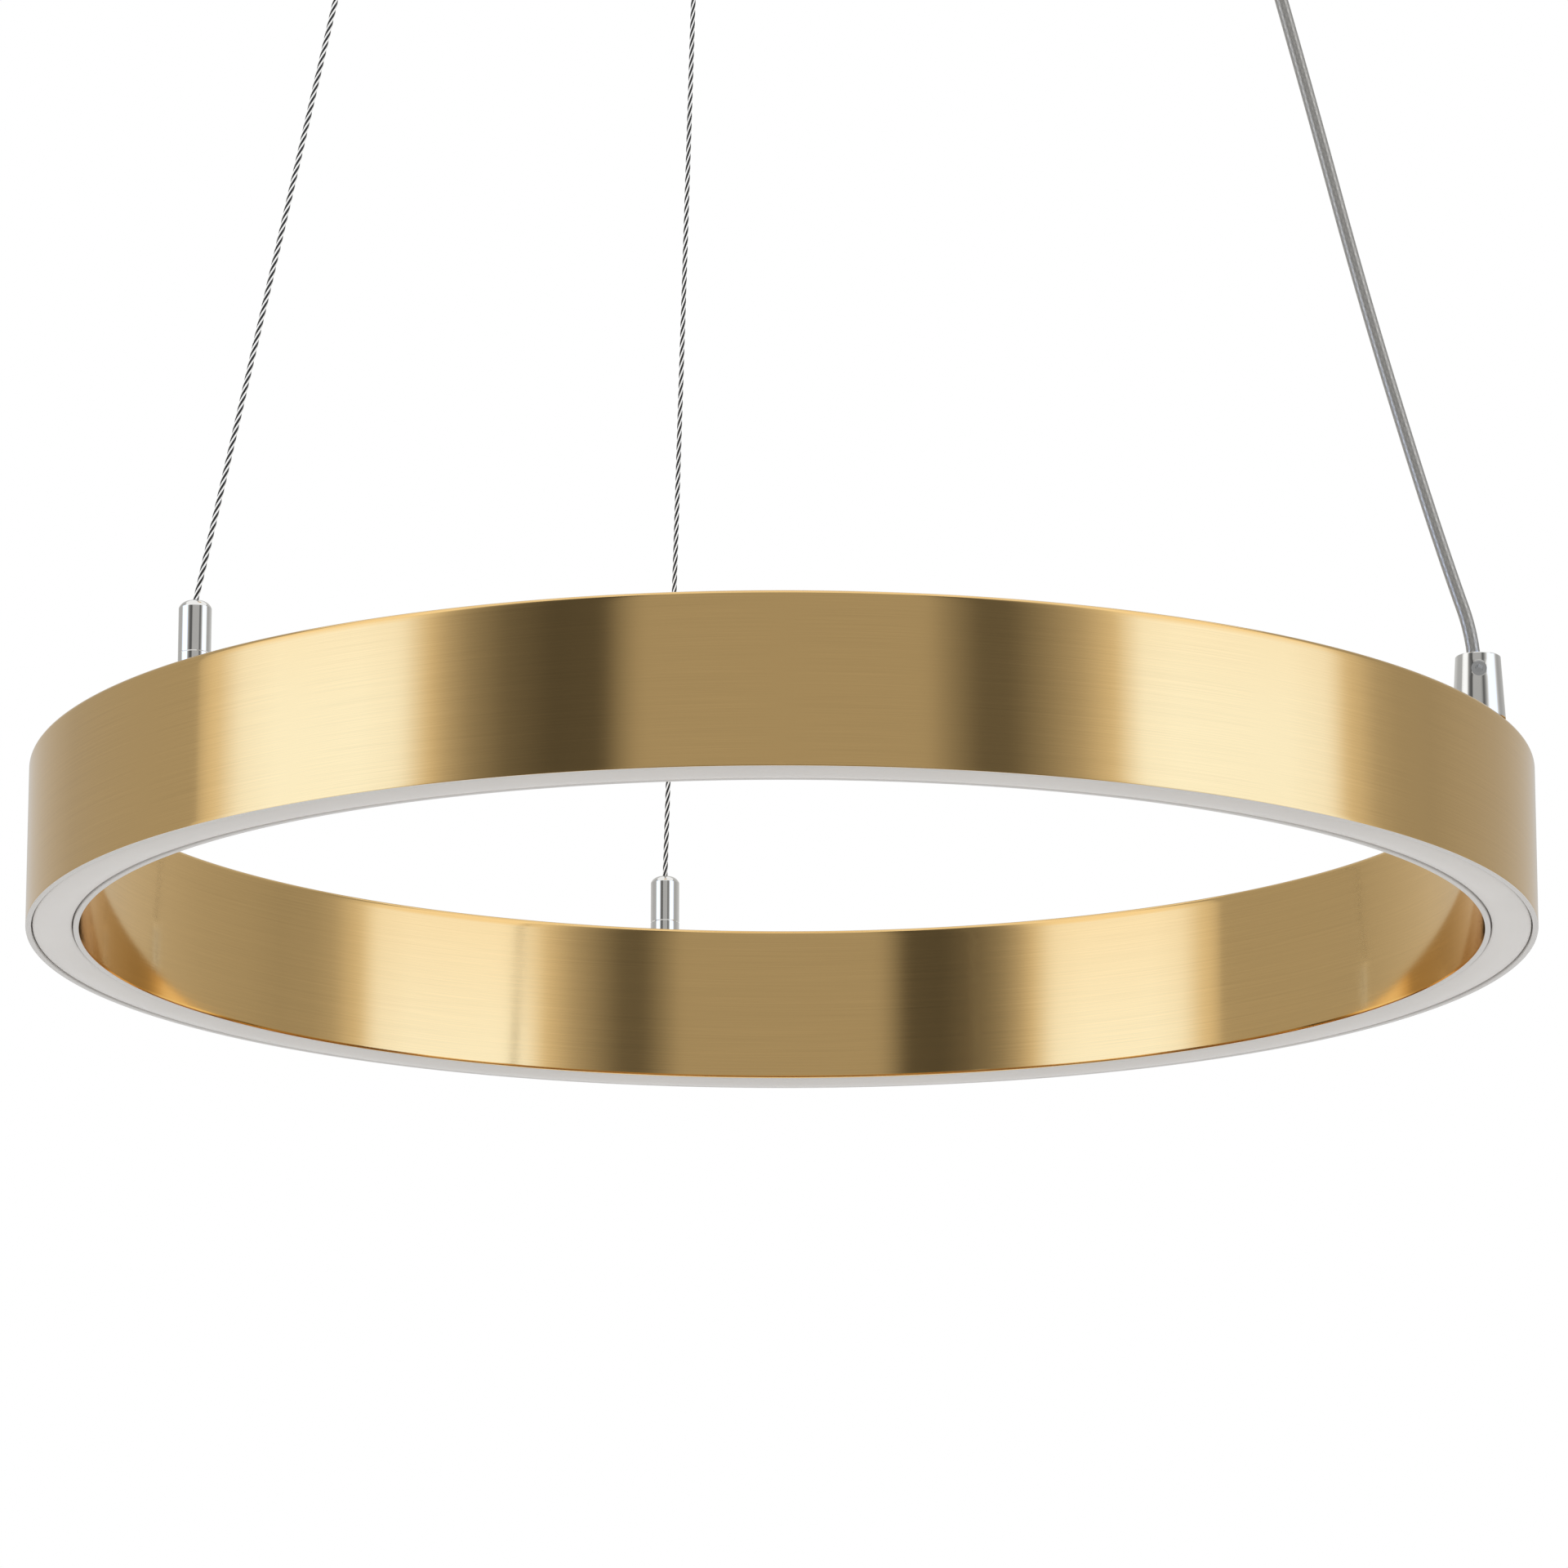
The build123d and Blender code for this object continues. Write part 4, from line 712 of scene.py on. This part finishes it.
def polished_nickel(name):
    """Polished nickel plate, a little rubbed at its edges."""
    base = tuple(bpy.context.scene.ring_light_colours.nickel)
    material, tree, shader = new_finish(name)
    marks = use(tree, handling_marks(), size=160.0, amount=0.6)
    wear = use(tree, edge_wear(), width=0.08, amount=0.6)
    grain = use(tree, moulded_grain(), size=2600.0)
    worn = blend_colours(tree, wear["Mask"], base, shade(base, 1.12))
    link(tree, worn, shader, "Base Color")
    shader.inputs["Metallic"].default_value = 1.0
    link(tree, stretch(tree, marks["Mask"], 0.05, 0.14), shader, "Roughness")
    bump(tree, shader, grain["Height"], 0.001 * MM, 0.3)
    return material


def steel_rope(name):
    """Bright drawn wire, with painted shade on the strands' sides and in the grooves
    between them.
    """
    base = tuple(bpy.context.scene.ring_light_colours.steel)
    material, tree, shader = new_finish(name)
    place = add(tree, "ShaderNodeUVMap", uv_map="length").outputs["UV"]
    parts = add(tree, "ShaderNodeSeparateXYZ", {0: place})
    along = math_node(tree, "MULTIPLY", parts.outputs[1], -500.0)
    round_it = math_node(tree, "MULTIPLY", parts.outputs[0], 6.0)
    turn = math_node(tree, "MULTIPLY", math_node(tree, "ADD", along, round_it), math.tau)
    wires = stretch(tree, math_node(tree, "SINE", turn), 0.5, 1.0)
    round_turn = math_node(tree, "MULTIPLY", parts.outputs[0], math.tau)
    # Mask of each strand's outward-facing crown; everything away from it gets painted shade
    lit_crown = fade(tree, math_node(tree, "COSINE", round_turn), 0.68, 0.84)
    wear = use(tree, handling_marks(), size=90.0, amount=0.8)
    dulled = blend_colours(tree, wear["Mask"], base, shade(base, 0.85))
    # Painted shade: the strands' sides and the grooves between them are painted near black,
    # and only their outward crowns keep the steel colour
    painted_groove_shade = blend_colours(tree, lit_crown, (0.045, 0.045, 0.045), dulled)
    link(tree, painted_groove_shade, shader, "Base Color")
    shader.inputs["Metallic"].default_value = 0.1
    link(tree, stretch(tree, wear["Mask"], 0.16, 0.26), shader, "Roughness")
    bump(tree, shader, wires, 0.02 * MM, 0.3)
    return material


def clear_cord(name):
    """Tinned braid seen through a glossy clear jacket."""
    base = tuple(bpy.context.scene.ring_light_colours.braid)
    material, tree, shader = new_finish(name)
    place = add(tree, "ShaderNodeUVMap", uv_map="length").outputs["UV"]
    parts = add(tree, "ShaderNodeSeparateXYZ", {0: place})
    along = math_node(tree, "MULTIPLY", parts.outputs[1], 360.0)
    round_it = math_node(tree, "MULTIPLY", parts.outputs[0], 8.0)
    ways = []
    for operation in ("ADD", "SUBTRACT"):
        turn = math_node(tree, operation, round_it, along)
        wave = math_node(tree, "SINE", math_node(tree, "MULTIPLY", turn, math.pi))
        ways.append(math_node(tree, "ABSOLUTE", wave))
    weave = math_node(tree, "MINIMUM", *ways)
    patch = fade(tree, noise(tree, place, 260.0, detail=2.0), 0.4, 0.62)
    tint = blend_colours(tree, weave, shade(base, 0.6), base)
    mottled = blend_colours(tree, patch, tint, shade(base, 0.68))
    link(tree, mottled, shader, "Base Color")
    shader.inputs["Metallic"].default_value = 0.8
    link(tree, stretch(tree, weave, 0.38, 0.28), shader, "Roughness")
    bump(tree, shader, weave, 0.03 * MM, 0.4)
    shader.inputs["Coat Weight"].default_value = 0.7
    shader.inputs["Coat Roughness"].default_value = 0.1
    return material


def plated_steel(name, base, rough):
    """Plated or plain metal with a slight grain."""
    material, tree, shader = new_finish(name)
    grain = use(tree, moulded_grain(), size=900.0)
    wear = use(tree, edge_wear(), width=0.06, amount=0.5)
    tint = blend_colours(tree, grain["Shade"], shade(base, 0.95), shade(base, 1.03))
    worn = blend_colours(tree, wear["Mask"], tint, shade(base, 1.3))
    link(tree, worn, shader, "Base Color")
    shader.inputs["Metallic"].default_value = 1.0
    link(tree, stretch(tree, grain["Height"], *rough), shader, "Roughness")
    bump(tree, shader, grain["Height"], 0.001 * MM, 0.2)
    return material


def moulded_plastic(name, base, rough, grain_size=1500.0):
    """Moulded or insulated plastic with a slight grain."""
    material, tree, shader = new_finish(name)
    grain = use(tree, moulded_grain(), size=grain_size)
    marks = use(tree, handling_marks(), size=60.0, amount=0.5)
    dust = use(tree, fine_dust(), amount=0.2)
    tint = blend_colours(tree, grain["Shade"], shade(base, 0.94), shade(base, 1.06))
    dusty = blend_colours(tree, dust["Mask"], tint, (0.5, 0.49, 0.47))
    link(tree, dusty, shader, "Base Color")
    link(tree, stretch(tree, marks["Mask"], *rough), shader, "Roughness")
    bump(tree, shader, grain["Height"], 0.01 * MM, 0.4)
    return material


# How each slot's finish is built: the function, then its colour and range of roughness
FINISHES = {
    "brushed_brass": (brushed_brass,),
    "opal_diffuser": (opal_diffuser,),
    "polished_nickel": (polished_nickel,),
    "steel_rope": (steel_rope,),
    "clear_cord": (clear_cord,),
    "zinc_steel": (plated_steel, (0.5, 0.51, 0.52), (0.08, 0.2)),
    "spring_steel": (plated_steel, (0.6, 0.6, 0.61), (0.15, 0.3)),
    "carrier_aluminium": (plated_steel, (0.8, 0.8, 0.81), (0.3, 0.45)),
    "tinned_copper": (plated_steel, (0.74, 0.7, 0.64), (0.25, 0.4)),
    "strip_board": (moulded_plastic, (0.85, 0.85, 0.83), (0.35, 0.5)),
    "led_package": (moulded_plastic, (0.9, 0.74, 0.25), (0.2, 0.3)),
    "resistor_black": (moulded_plastic, (0.02, 0.02, 0.02), (0.35, 0.5)),
    "white_nylon": (moulded_plastic, (0.78, 0.78, 0.75), (0.4, 0.55)),
    "driver_housing": (moulded_plastic, (0.8, 0.8, 0.79), (0.45, 0.6), 900.0),
    "circuit_board": (moulded_plastic, (0.02, 0.12, 0.04), (0.2, 0.35)),
    "component_mix": (moulded_plastic, (0.03, 0.032, 0.04), (0.25, 0.5)),
    "lead_white": (moulded_plastic, (0.75, 0.75, 0.73), (0.3, 0.4)),
    "lead_green": (moulded_plastic, (0.12, 0.35, 0.05), (0.3, 0.4)),
}


def finish(slot_name):
    """The material of a slot, built the first time that it is asked for."""
    name = "finish_" + slot_name
    build, *values = FINISHES[slot_name]
    return bpy.data.materials.get(name) or build(name, *values)


# ------------------------------------------------------------------ studio
STUDIO_MIDDLE = (0, -0.034, -0.12)
STUDIO_HEIGHT = 1.2
FLOOR_LEVEL = -1.75
FLOOR_RADIUS = 6.0
AIM = Vector((0, 0, -0.45))

# What the metal reflects, by azimuth from the studio's middle: grey of the walls, and
# where the two tall softboxes stand
WALL_GREYS = [
    (-180, 0.62),
    (-177, 0.85),
    (-139.6, 0.8),
    (-137, 0.54),
    (-133.2, 0.32),
    (-127.9, 0.17),
    (-121.4, 0.1),
    (-114.4, 0.11),
    (-111.7, 0.3),
    (-109, 0.45),
    (-70.5, 0.45),
    (-66.7, 0.28),
    (-62.9, 0.14),
    (-58.6, 0.15),
    (-54.3, 0.28),
    (-48.9, 0.48),
    (-44.7, 0.74),
    (-42.5, 0.85),
    (-5.9, 0.85),
    (-1.8, 0.72),
    (2.3, 0.5),
    (7.4, 0.42),
    (15.5, 0.4),
    (23.5, 0.44),
    (37, 0.48),
    (62, 0.6),
    (118, 0.62),
    (145, 0.46),
    (174.6, 0.46),
]
SOFTBOXES = [
    (-176.2, 0.0),
    (-171, 0.8),
    (-164.8, 1.0),
    (-150.2, 1.0),
    (-143.9, 0.85),
    (-139.6, 0.0),
    (-43.6, 0.0),
    (-39.3, 0.9),
    (-34, 1.0),
    (-15.2, 0.95),
    (-7.9, 0.75),
    (-3.8, 0.0),
]


def hide_from(thing, **rays):
    """Set which kinds of ray see a studio object."""
    for kind, seen in rays.items():
        setattr(thing, "visible_" + kind, seen)


def reflected_walls(settings):
    """Upright cylinder round the light, seen only in reflections."""
    bpy.ops.object.select_all(action="DESELECT")
    bpy.ops.mesh.primitive_cylinder_add(
        vertices=128,
        radius=settings.radius,
        depth=STUDIO_HEIGHT,
        end_fill_type="NOTHING",
        location=STUDIO_MIDDLE,
    )
    walls = bpy.context.object
    walls.name = "studio_walls"
    bpy.ops.object.transform_apply(location=True, rotation=False, scale=False)
    hide_from(walls, camera=False, diffuse=False, shadow=False, volume_scatter=False)
    material = bpy.data.materials.new("studio_walls")
    material.use_nodes = True
    tree = material.node_tree
    tree.nodes.clear()
    _, east, north, up = object_place(tree)
    north = math_node(tree, "SUBTRACT", north, STUDIO_MIDDLE[1])
    turn = math_node(tree, "ARCTAN2", north, east)
    share = math_node(tree, "ADD", math_node(tree, "DIVIDE", turn, math.tau), 0.5)
    grey = ramp(tree, share, [((a + 180) / 360, g) for a, g in WALL_GREYS])
    lamp = ramp(tree, share, [((a + 180) / 360, g) for a, g in SOFTBOXES])
    tinted = blend_colours(tree, grey, (0, 0, 0), tuple(settings.walls))
    high = fade(tree, up, -0.48, -0.33)
    white = blend_colours(tree, high, tuple(settings.softbox), (1.15, 1.15, 1.15))
    lit = blend_colours(tree, lamp, tinted, white)
    low = fade(tree, up, RING_RIM - 0.02, RING_RIM + 0.04)
    footed = blend_colours(tree, low, (0.12, 0.11, 0.1), lit)
    glow = add(tree, "ShaderNodeEmission", {"Color": footed})
    out = tree.nodes.new("ShaderNodeOutputMaterial")
    tree.links.new(glow.outputs[0], out.inputs["Surface"])
    walls.data.materials.append(material)


def studio_floor():
    """Pale floor under the light, clear from below."""
    bpy.ops.object.select_all(action="DESELECT")
    bpy.ops.mesh.primitive_circle_add(
        vertices=128, radius=FLOOR_RADIUS, fill_type="NGON", location=(0, 0, FLOOR_LEVEL)
    )
    floor = bpy.context.object
    floor.name = "studio_floor"
    bpy.ops.object.transform_apply(location=True, rotation=False, scale=False)
    material = bpy.data.materials.new("studio_floor")
    material.use_nodes = True
    tree = material.node_tree
    tree.nodes.clear()
    matt = add(tree, "ShaderNodeBsdfDiffuse", {"Color": (0.93, 0.93, 0.93, 1.0)})
    white = add(tree, "ShaderNodeEmission", {"Color": (1.0, 1.0, 1.0, 1.0)})
    clear = tree.nodes.new("ShaderNodeBsdfTransparent")
    _, east, north, _ = object_place(tree)
    far = fade(tree, distance_out(tree, east, north), 0.8, 3.0)
    fading = add(
        tree, "ShaderNodeMixShader", {0: far, 1: matt.outputs[0], 2: white.outputs[0]}
    )
    below = add(tree, "ShaderNodeNewGeometry").outputs["Backfacing"]
    sided = add(
        tree,
        "ShaderNodeMixShader",
        {0: below, 1: fading.outputs[0], 2: clear.outputs[0]},
    )
    out = tree.nodes.new("ShaderNodeOutputMaterial")
    tree.links.new(sided.outputs[0], out.inputs["Surface"])
    floor.data.materials.append(material)


def studio_world(ambient):
    """White to the camera and in reflections, a softer white as light."""
    world = bpy.data.worlds.new("studio")
    bpy.context.scene.world = world
    world.use_nodes = True
    tree = world.node_tree
    tree.nodes.clear()
    path = add(tree, "ShaderNodeLightPath").outputs
    seen = math_node(tree, "ADD", path["Is Camera Ray"], path["Is Glossy Ray"])
    seen = math_node(tree, "ADD", seen, path["Is Transmission Ray"])
    strength = stretch(tree, math_node(tree, "MINIMUM", seen, 1.0), ambient, 1.0)
    sky = add(
        tree,
        "ShaderNodeBackground",
        {"Color": (1.0, 1.0, 1.0, 1.0), "Strength": strength},
    )
    out = tree.nodes.new("ShaderNodeOutputWorld")
    tree.links.new(sky.outputs[0], out.inputs["Surface"])


def soft_lamp(name, power, place, size):
    """Large soft lamp that looks at the middle of the light."""
    data = bpy.data.lights.new(name, "AREA")
    data.energy = power
    data.shape = "SQUARE"
    data.size = size
    lamp = bpy.data.objects.new(name, data)
    bpy.context.collection.objects.link(lamp)
    lamp.location = place
    aim = AIM - Vector(place)
    lamp.rotation_euler = aim.to_track_quat("-Z", "Y").to_euler()
    hide_from(lamp, camera=False, glossy=False, transmission=False)


class RINGLIGHT_OT_studio(bpy.types.Operator):
    """Set up the camera, lamps, floor and reflected studio"""

    bl_idname = "ring_light.studio"
    bl_label = "Studio"
    bl_options = {"REGISTER", "UNDO"}

    def execute(self, context):
        settings = context.scene.ring_light_studio
        context.scene.view_settings.view_transform = "Standard"
        data = bpy.data.cameras.new("camera")
        data.lens = CAMERA_LENS
        data.sensor_width = CAMERA_SENSOR
        camera = bpy.data.objects.new("camera", data)
        context.collection.objects.link(camera)
        pitch = Matrix.Rotation(math.radians(90 + CAMERA_PITCH), 4, "X")
        roll = Matrix.Rotation(math.radians(CAMERA_ROLL), 4, "Z")
        camera.matrix_world = Matrix.Translation(CAMERA_PLACE) @ pitch @ roll
        context.scene.camera = camera
        studio_world(settings.ambient)
        reflected_walls(settings)
        studio_floor()
        soft_lamp("key_lamp", settings.key_power, (-1.4, -1.6, 0.5), 1.2)
        soft_lamp("fill_lamp", settings.fill_power, (1.8, -0.8, 0.1), 1.0)
        return {"FINISHED"}


# ------------------------------------------------------------------ pieces
class RINGLIGHT_OT_ropes(bpy.types.Operator):
    """Lay the two steel ropes from the canopy to the ring"""

    bl_idname = "ring_light.ropes"
    bl_label = "Ropes"
    bl_options = {"REGISTER", "UNDO"}

    def execute(self, context):
        sizes = context.scene.ring_light_sizes
        for side, azimuth in (("left", LEFT_AZIMUTH), ("rear", REAR_AZIMUTH)):
            high = polar(EXIT_PITCH, azimuth + TWIST, ROPE_EXIT)
            low = polar(RING_PITCH, azimuth, ROPE_FOOT)
            near = 6 * sizes.rope_diameter / (high - low).length
            route = [high.lerp(low, share) for share in (0, near, 0.5, 1 - near, 1)]
            line = route_line(route)
            rope = rope_strands(
                "rope_strands_" + side, line, sizes.rope_diameter, sizes.rope_lay
            )
            stands_for(rope, "rope_" + side, "canopy", "steel_rope")
            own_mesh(rope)
        return {"FINISHED"}


class RINGLIGHT_OT_power_cord(bpy.types.Operator):
    """Run the power cord from the canopy's grip to the ring's"""

    bl_idname = "ring_light.power_cord"
    bl_label = "Power cord"
    bl_options = {"REGISTER", "UNDO"}

    def execute(self, context):
        sizes = context.scene.ring_light_sizes
        high = polar(EXIT_PITCH, CORD_AZIMUTH + TWIST, CORD_EXIT)
        outward = polar(RING_PITCH, CORD_AZIMUTH, CORD_EXIT) - high
        outward.normalize()
        route = [
            high + outward * out * MM - Vector((0, 0, down * MM))
            for out, down in CORD_ROUTE
        ]
        line = route_line(route)
        steps = [place for place, _, _ in even_steps(line, 1.5 * MM)]
        cord = tubes("power_cord_jacket", [steps], [sizes.cord_diameter / 2], 28)
        stands_for(cord, "power_cord", "canopy", "clear_cord")
        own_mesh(cord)
        return {"FINISHED"}


class RINGLIGHT_OT_bands(bpy.types.Operator):
    """Turn the outer and inner brass bands"""

    bl_idname = "ring_light.bands"
    bl_label = "Bands"
    bl_options = {"REGISTER", "UNDO"}

    def execute(self, context):
        sizes = context.scene.ring_light_sizes
        outer = OUTER_HIGH[0]
        inner = INNER_HIGH[0] - sizes.band_wall
        for node, near, shown in (
            ("outer_band", outer - sizes.band_wall, outer),
            ("inner_band", INNER_HIGH[0], inner),
        ):
            corners = [
                (near, RING_TOP),
                (shown, RING_TOP),
                (shown, RING_TOP - 2 * sizes.top_round),
                (shown, RING_RIM + 4 * sizes.rim_round),
                (shown, RING_RIM),
                (near, RING_RIM),
                (near, RING_RIM + 4 * sizes.rim_round),
            ]
            band = draw_outline(node.replace("_band", "_wall"), corners)
            round_corners(band, [corners[1]], sizes.top_round, 6)
            round_corners(band, corners[4:6], sizes.rim_round, 3)
            spin_outline(band, sizes.ring_steps)
            stands_for(band, node, "ring", "brushed_brass")
        return {"FINISHED"}


class RINGLIGHT_OT_diffuser(bpy.types.Operator):
    """Form the opal diffuser between the bands"""

    bl_idname = "ring_light.diffuser"
    bl_label = "Diffuser"
    bl_options = {"REGISTER", "UNDO"}

    def execute(self, context):
        sizes = context.scene.ring_light_sizes
        out = OUTER_HIGH[0] - sizes.band_wall - sizes.diffuser_gap
        within = INNER_HIGH[0] + sizes.diffuser_gap
        wall = sizes.diffuser_wall
        edge = RING_RIM + sizes.diffuser_edge
        sole = RING_RIM - sizes.diffuser_bulge
        top = edge + sizes.diffuser_leg
        outline = [
            *arc_points((within, edge), sole, (out, edge), 16),
            (out, top),
            (out - wall, top),
            *arc_points(
                (out - wall, edge + wall), sole + wall, (within + wall, edge + wall), 16
            ),
            (within + wall, top),
            (within, top),
        ]
        diffuser = draw_outline("opal_diffuser", outline)
        round_corners(diffuser, [outline[0], outline[16]], 0.25 * MM, 3)
        spin_outline(diffuser, sizes.ring_steps)
        stands_for(diffuser, "diffuser", "ring", "opal_diffuser")
        return {"FINISHED"}


class RINGLIGHT_OT_gripper_springs(bpy.types.Operator):
    """Wind the springs inside the two rope grippers"""

    bl_idname = "ring_light.gripper_springs"
    bl_label = "Gripper springs"
    bl_options = {"REGISTER", "UNDO"}

    def execute(self, context):
        sizes = context.scene.ring_light_sizes
        wire = sizes.spring_wire / 2
        for side, azimuth in (("left", LEFT_AZIMUTH), ("rear", REAR_AZIMUTH)):
            low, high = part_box("gripper_spring_" + side)
            axis = polar(EXIT_PITCH, azimuth + TWIST)
            rise = (high[2] - low[2] - 2 * wire) / sizes.spring_turns
            bpy.ops.object.select_all(action="DESELECT")
            bpy.ops.mesh.primitive_circle_add(
                vertices=10, radius=wire, fill_type="NOTHING", rotation=(math.pi / 2, 0, 0)
            )
            spring = bpy.context.object
            spring.name = "gripper_coil_" + side
            bpy.ops.object.transform_apply(location=False, rotation=True, scale=False)
            bpy.ops.object.mode_set(mode="EDIT")
            bpy.ops.mesh.select_all(action="SELECT")
            bpy.ops.transform.translate(value=((high[0] - low[0]) / 2 - wire, 0, 0))
            bpy.ops.object.mode_set(mode="OBJECT")
            coil = spring.modifiers.new("coil", "SCREW")
            coil.axis = "Z"
            coil.steps = coil.render_steps = 28
            coil.iterations = sizes.spring_turns
            coil.screw_offset = rise
            bpy.ops.object.modifier_apply(modifier=coil.name)
            bpy.ops.object.mode_set(mode="EDIT")
            bpy.ops.mesh.select_all(action="SELECT")
            bpy.ops.mesh.fill_holes(sides=0)
            bpy.ops.mesh.select_all(action="SELECT")
            bpy.ops.mesh.normals_make_consistent(inside=False)
            bpy.ops.object.mode_set(mode="OBJECT")
            put(spring, (axis.x, axis.y, low[2] + wire))
            bpy.ops.object.shade_smooth_by_angle(angle=math.radians(50))
            stands_for(spring, "gripper_spring_" + side, "canopy", "spring_steel")
            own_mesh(spring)
        return {"FINISHED"}


class RINGLIGHT_OT_finishes(bpy.types.Operator):
    """Give every CAD piece that stays its finish"""

    bl_idname = "ring_light.finishes"
    bl_label = "Finishes"
    bl_options = {"REGISTER", "UNDO"}

    def execute(self, context):
        for part in frame["record"]["subparts"]:
            mesh = frame["nodes"][part["node"]].data
            mesh.materials.clear()
            mesh.materials.append(finish(part["material_slot"]))
        return {"FINISHED"}


STEPS = (
    RINGLIGHT_OT_studio,
    RINGLIGHT_OT_ropes,
    RINGLIGHT_OT_power_cord,
    RINGLIGHT_OT_bands,
    RINGLIGHT_OT_diffuser,
    RINGLIGHT_OT_gripper_springs,
    RINGLIGHT_OT_finishes,
)


class RINGLIGHT_PT_panel(bpy.types.Panel):
    """Buttons and settings in the 3D view's sidebar"""

    bl_idname = "RINGLIGHT_PT_panel"
    bl_label = "Ring Light"
    bl_space_type = "VIEW_3D"
    bl_region_type = "UI"
    bl_category = "Ring Light"

    def draw(self, context):
        layout = self.layout
        for step in STEPS:
            layout.operator(step.bl_idname)
        for group in ("sizes", "colours", "studio"):
            box = layout.box()
            settings = getattr(context.scene, "ring_light_" + group)
            for name in settings.__annotations__:
                box.prop(settings, name)


GROUPS = {
    "ring_light_sizes": RingLightSizes,
    "ring_light_colours": RingLightColours,
    "ring_light_studio": RingLightStudio,
}


def register():
    for thing in (*GROUPS.values(), *STEPS, RINGLIGHT_PT_panel):
        bpy.utils.register_class(thing)
    for name, group in GROUPS.items():
        setattr(bpy.types.Scene, name, bpy.props.PointerProperty(type=group))


def unregister():
    for name in GROUPS:
        delattr(bpy.types.Scene, name)
    for thing in (RINGLIGHT_PT_panel, *reversed(STEPS), *GROUPS.values()):
        bpy.utils.unregister_class(thing)


def main():
    register()
    for step in STEPS:
        group, name = step.bl_idname.split(".")
        getattr(getattr(bpy.ops, group), name)()


if __name__ == "__main__":
    main()
